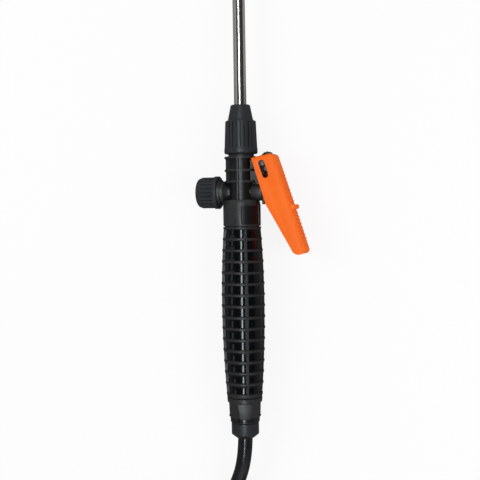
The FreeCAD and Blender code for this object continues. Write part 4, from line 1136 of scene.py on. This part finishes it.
@dataclass
class Valve(SubAssembly):
    """The valve body with its cap, and the spindle inside it."""

    rim: float = 13.3
    rim_step: float = 0.2
    rib: float = 12.6
    rib_run: Pair = (-32.6, -22.2)
    dome: Pair = (8.6, -33.9)
    dome_round: Pair = (3.4, 2.6)
    dome_steps: int = 6
    cap_thread: float = 10.45
    cap_end: float = -36.5
    cap_roof: float = -33.4
    cap_foot: float = -18.4
    head: Pair = (-5.0, 28.0)
    head_floor: Pair = (8.0, 12.4)
    window: Pair = (-25.9, -10.9)
    window_floor: Pair = (14.0, 14.9)
    steepest: float = 0.8
    travel: float = 6.46
    sleeve: Triple = (7.2, 9.0, 18.6)
    sleeve_bore: float = 5.8
    web: Triple = (6.5, 3.4, 8.0)
    web_middle: Triple = (12.9, 7.6, 0.0)
    kept: ClassVar[dict[str, Finish]] = {
        "spindle": Finish.BRASS,
        "valve_disc": Finish.BRASS,
        "seat_washer": Finish.RUBBER,
        "spindle_seal": Finish.RUBBER,
        "cap_gasket": Finish.RUBBER,
    }

    def recessed(self, middle: Vector, normal: Vector) -> bool:
        """Whether a face of the body is the floor of a recess between its rings or of a window,
        where shade is painted.

        Args:
            middle: the face's middle.
            normal: the face's normal.

        Returns:
            True if it faces along its radius, between the radii of a floor.
        """
        place = (PLACES.on_axis.inverted() @ middle) / MM
        out = place.xz.length
        if abs(normal.x * place.x + normal.z * place.z) < self.steepest * out:
            return False
        floors = ((self.head, self.head_floor), (self.window, self.window_floor))
        return any(
            low < place.y < high and inner < out < outer
            for (low, high), (inner, outer) in floors
        )

    def cap(self) -> None:
        """The ribbed cap with its domed end."""
        radius, start = self.dome
        out, down = self.dome_round
        profile = [(0.0, self.cap_end)]
        for i in range(self.dome_steps + 1):
            angle = i / self.dome_steps * math.pi / 2
            profile.append((radius + out * math.sin(angle), start - down * math.cos(angle)))
        rib_start, rib_end = self.rib_run
        profile += [
            (self.rib, rib_start),
            (self.rib, rib_end),
            (self.rim - self.rim_step, rib_end + self.rim_step),
            (self.rim, rib_end + 2 * self.rim_step),
            (self.rim, self.cap_foot - 0.4),
            (self.rim - 0.4, self.cap_foot),
            (self.cap_thread, self.cap_foot),
            (self.cap_thread, self.cap_roof),
            (0.0, self.cap_roof),
        ]
        cap = ribbed(profile, PLACES.along_barrel, 7.0)
        cap.piece("valve_chamber_cap", Finish.NUT, Body.VALVE_CAP, ("valve_cap",))

    def moulding(self) -> None:
        """The body, with a sleeve round its barrel and a web between barrel and ears."""
        body = Shape.copied("valve_body").marked(self.recessed).soften(0.3)
        outer, start, end = self.sleeve
        bore = self.sleeve_bore
        profile = [(bore, start), (outer, start), (outer, end), (bore, end)]
        body.joined(Shape.turned(profile).moved(PLACES.along_barrel))
        body.joined(Shape.block(self.web, self.web_middle, 0.3).moved(PLACES.on_axis))
        body.piece("valve_moulding", Finish.BODY, Body.ROOT, ("valve_body",))

    def spring(self) -> None:
        """The return spring, which the disc presses against the cap."""
        name = "valve_spring"
        made = Shape.copied(name).piece("return_spring", Finish.SPRING, Body.ROOT, (name,))
        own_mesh(made)

    def build(self) -> None:
        """Makes the body, the gland, the cap and the spring."""
        self.moulding()
        softened("spindle_gland", "gland_moulding", Finish.BODY, Body.ROOT, 0.3)
        self.cap()
        self.spring()


@dataclass
class Trigger(SubAssembly):
    """The lever with its serrated back, its pin and its lock."""

    pivot: Pair = (19.6, 22.6)
    slope: float = 18.4
    back: float = 10.98
    ridge_pitch: float = 3.1
    ridge_length: float = 15.6
    ridge_size: Pair = (0.9, 0.4)
    ridge_runs: tuple[Pair, ...] = ((7.5, 36.5), (45.5, 68.5))

    @cached_property
    def down_slot(self) -> Matrix:
        """The frame with X out of the lever's back, Y up its slope and its origin at the pivot."""
        turned = Matrix.Rotation(math.radians(self.slope), 4, "Z")
        return PLACES.on_axis @ Matrix.Translation(Vector((*self.pivot, 0)) * MM) @ turned

    def lever(self) -> None:
        """The lever, with soft edges and fine ridges across its back."""
        lever = Shape.copied("trigger_lever").soften(0.45)
        wide, tall = self.ridge_size
        for first, last in self.ridge_runs:
            for i in range(int((last - first) / self.ridge_pitch) + 1):
                place = (self.back, -(first + i * self.ridge_pitch), 0)
                ridge = Shape.block((2 * tall, wide, self.ridge_length), place, 0.2)
                lever.joined(ridge.moved(self.down_slot))
        lever.piece("lever_moulding", Finish.ORANGE, Body.TRIGGER, ("trigger_lever",))

    def build(self) -> None:
        """Makes the lever, the lock and the pin."""
        self.lever()
        softened("lock_slide", "lock_catch", Finish.FITTING, Body.LOCK, 0.3)
        softened("pivot_pin", "lever_pin", Finish.PIN, Body.ROOT, 0.25)


@dataclass
class Handle(SubAssembly):
    """The ringed grip, the collar and fitting below it, and the hose nut."""

    top: Pair = (15.3, -27.95)
    belly: Pair = (17.7, -90.0)
    foot: Pair = (14.6, -165.8)
    bore: float = 9.5
    rings: int = 16
    ring: float = 1.6
    foot_lip: float = 1.4
    rib_inset: float = 0.25
    cell_depth: float = 2.05
    cell_slope: float = 0.28
    ribs: int = 4
    steps: int = 120
    turn: float = 26.6
    kept: ClassVar[dict[str, Finish]] = {
        "grip_seal": Finish.RUBBER,
        "strainer_frame": Finish.WHITE,
        "strainer_mesh": Finish.SCREEN,
    }

    def radius(self, y: float) -> float:
        """The grip's radius, on two arcs that meet at the belly.

        Args:
            y: the place along the grip.

        Returns:
            The radius there in millimetres.
        """
        wide, middle = self.belly
        narrow, end = self.top if y > middle else self.foot
        rise = wide - narrow
        arc = ((end - middle) ** 2 / rise + rise) / 2
        return wide - arc + math.sqrt(arc**2 - (y - middle) ** 2)

    def grip(self) -> None:
        """The rings and the ribs round sunk cells, with painted shade in the cells."""
        start, end = self.top[1], self.foot[1]
        pitch = (start - end - self.foot_lip - self.ring) / (self.rings - 1)
        profile = [(self.bore, start)]
        for i in range(self.rings):
            high = start - i * pitch
            low = high - self.ring
            if i:
                profile.append((self.radius(high) - self.rib_inset, high))
            profile += [(self.radius(high), high), (self.radius(low), low)]
            profile.append((self.radius(low) - self.rib_inset, low))
        profile += [(self.foot[0] - self.rib_inset, end), (self.bore, end)]
        grip = Shape.turned(profile, self.steps, 0.2)
        share = self.steps // self.ribs
        slack = 0.6
        shortest = pitch - self.ring - slack
        cells = grip.columns(self.steps, lambda column: 1 <= column % share < share - 1, shortest)
        bore_wall = (self.bore + 2) * MM
        cells = [face for face in cells if face.calc_center_median().xz.length > bore_wall]
        grip.sunk(cells, self.cell_depth, self.cell_slope, apart=False).soften(0.22, 40.0)
        turned = Matrix.Rotation(math.radians(self.turn), 4, "Y")
        grip.moved(PLACES.on_axis @ turned)
        grip.piece("ringed_grip", Finish.GRIP, Body.ROOT, ("grip",))

    def build(self) -> None:
        """Makes the grip and what is below it."""
        self.grip()
        softened("end_collar", "grip_end_collar", Finish.BODY, Body.ROOT, 0.35)
        softened("hose_fitting", "hose_end_fitting", Finish.FITTING, Body.ROOT, 0.35)
        softened("hose_nut", "hose_clamp_nut", Finish.NUT, Body.HOSE_NUT, 0.4, 30.0, 3)


@dataclass
class Nozzle(SubAssembly):
    """The nut, moulding and brass cap at the tube's tip."""

    nut_radius: float = 10.2
    nut_foot: float = 2.0
    nut_end: float = 14.4
    nut_ribs: Pair = (4.4, 13.2)
    nut_floor: float = 5.3
    nut_thread: float = 8.05
    tube_hole: float = 5.05
    cap_radius: float = 9.0
    cap_foot: float = 20.0
    cap_end: float = 37.0
    cap_roof: float = 33.5
    cap_thread: float = 6.65
    knurl: Pair = (23.8, 32.8)
    knurl_step: float = 0.2
    cone: Pair = (6.4, 1.6)
    cone_floor: float = 35.2
    outlet: float = 0.8
    kept: ClassVar[dict[str, Finish]] = {
        "tip_ferrule": Finish.WHITE,
        "swirl_core": Finish.WHITE,
        "nozzle_seal": Finish.RUBBER,
    }

    def nut(self) -> None:
        """The nut that holds the nozzle on the tube."""
        profile = [
            (self.tube_hole, self.nut_foot),
            (self.nut_radius - 2, self.nut_foot),
            *((self.nut_radius, y) for y in self.nut_ribs),
            (self.nut_radius - 0.3, self.nut_end),
            (self.nut_thread, self.nut_end),
            (self.nut_thread, self.nut_floor),
            (self.tube_hole, self.nut_floor),
        ]
        nut = ribbed(profile, PLACES.nozzle, 7.0)
        nut.piece("tip_clamp_nut", Finish.NUT, Body.TIP_NUT, ("tip_nut",))

    def cap(self) -> None:
        """The brass cap, knurled between two plain rims, with the outlet in its end."""
        wide, narrow = self.cone
        radius, step = self.cap_radius, self.knurl_step
        knurl_start, knurl_end = self.knurl
        profile = [
            (self.cap_thread, self.cap_foot),
            (radius - 0.4, self.cap_foot),
            (radius, self.cap_foot + 0.4),
            (radius, knurl_start - step),
            (radius - step, knurl_start),
            (radius - step, knurl_end),
            (radius, knurl_end + step),
            (radius, self.cap_end - 0.8),
            (radius - 0.8, self.cap_end),
            (wide, self.cap_end),
            (narrow, self.cone_floor),
            (self.outlet, self.cone_floor),
            (self.outlet, self.cap_roof),
            (self.cap_thread, self.cap_roof),
        ]
        cap = ribbed(profile, PLACES.nozzle, 8.0, 0.45)
        cap.piece("spray_cap", Finish.BRASS, Body.NOZZLE_CAP, ("nozzle_cap",))

    def build(self) -> None:
        """Makes the nut, the moulding and the cap."""
        self.nut()
        softened("nozzle_body", "nozzle_moulding", Finish.BODY, Body.ROOT, 0.3)
        self.cap()


@dataclass
class Hose(SubAssembly):
    """The hose, from its nut to the tank's connector, with its spare length coiled and tied."""

    radius: float = 6.0
    coil_centre: Pair = (1.0, -337.0)
    coil_radius: float = 66.0
    coil_start: float = 135.0
    turns: float = 2.58
    lowest: float = 6.82
    turn_height: float = 12.3
    end_height: float = 38.42
    end_rise: float = 2.3
    points_in_turn: int = 24
    ramp: Pair = (0.74, 0.96)
    length: float = 1.18
    route: tuple[Triple, ...] = (
        (0.0, -194.0, 17.7),
        (0.0, -216.0, 17.7),
        (-10.0, -244.0, 12.4),
        (-27.5, -271.0, 7.4),
        (-46.0, -290.3, 6.8),
    )
    kept: ClassVar[dict[str, Finish]] = {"tank_washer": Finish.RUBBER}

    @cached_property
    def datum(self) -> Vector:
        """The point that the route is measured from: under the lance's axis, at the barrel."""
        origin = PLACES.on_axis.translation
        return Vector((origin.x, origin.y, 0))

    def height(self, turn: float) -> float:
        """How high the coil runs: each turn lies flat, then climbs onto itself.

        Args:
            turn: turns from the coil's start.

        Returns:
            The height of the hose's middle in millimetres.
        """
        low, high = self.ramp
        climb = eased((turn % 1 - low) / (high - low))
        height = self.lowest + self.turn_height * (int(turn) + climb)
        rise = eased((turn - self.end_rise) / (self.turns - self.end_rise))
        return height + (self.end_height - height) * rise

    def line(self) -> bpy.types.Object:
        """Makes the hose as one curve.

        Returns:
            The hose.
        """
        points = [Vector(p) * MM + self.datum for p in self.route]
        steps = round(self.turns * self.points_in_turn)
        out = self.coil_radius / math.cos(math.pi / self.points_in_turn)
        for i in range(steps + 1):
            turn = self.turns * i / steps
            angle = math.radians(self.coil_start) + FULL_TURN * turn
            reach = self.coil_radius if i in (0, steps) else out
            x = self.coil_centre[0] + reach * math.cos(angle)
            y = self.coil_centre[1] + reach * math.sin(angle)
            points.append(Vector((x, y, self.height(turn))) * MM + self.datum)
        curve = bpy.data.curves.new("hose_line", "CURVE")
        curve.dimensions = "3D"
        curve.bevel_depth = self.radius * MM
        curve.bevel_resolution = 8
        curve.resolution_u = 10
        curve.use_fill_caps = True
        spline = curve.splines.new("NURBS")
        spline.points.add(len(points) - 1)
        for point, place in zip(spline.points, points):
            point.co = (*place, 1.0)
        spline.order_u = 3
        spline.use_endpoint_u = True
        made = shown("hose_line", curve)
        return settle(made, Finish.HOSE, Body.ROOT, ("hose", "hose_coil"))

    def build(self) -> None:
        hose = self.line()
        strap = softened("hose_tie", "hose_strap", Finish.NYLON, Body.ROOT, 0.3, 40.0)
        tail = softened("tank_tail", "tank_hose_tail", Finish.FITTING, Body.ROOT, 0.4, 30.0)
        nut = softened("tank_nut", "tank_swivel_nut", Finish.NUT, Body.TANK_NUT, 0.35, 25.0)
        start = Vector(self.route[0]) * MM + self.datum
        2 * self.radius * MM


def main() -> None:
    """Builds the studio and every piece of the lance."""
    Studio().build()
    for part in (Hose(), Lance(), Valve(), Trigger(), Handle(), Nozzle()):
        part.build()
        part.dress()


if __name__ == "__main__":
    main()
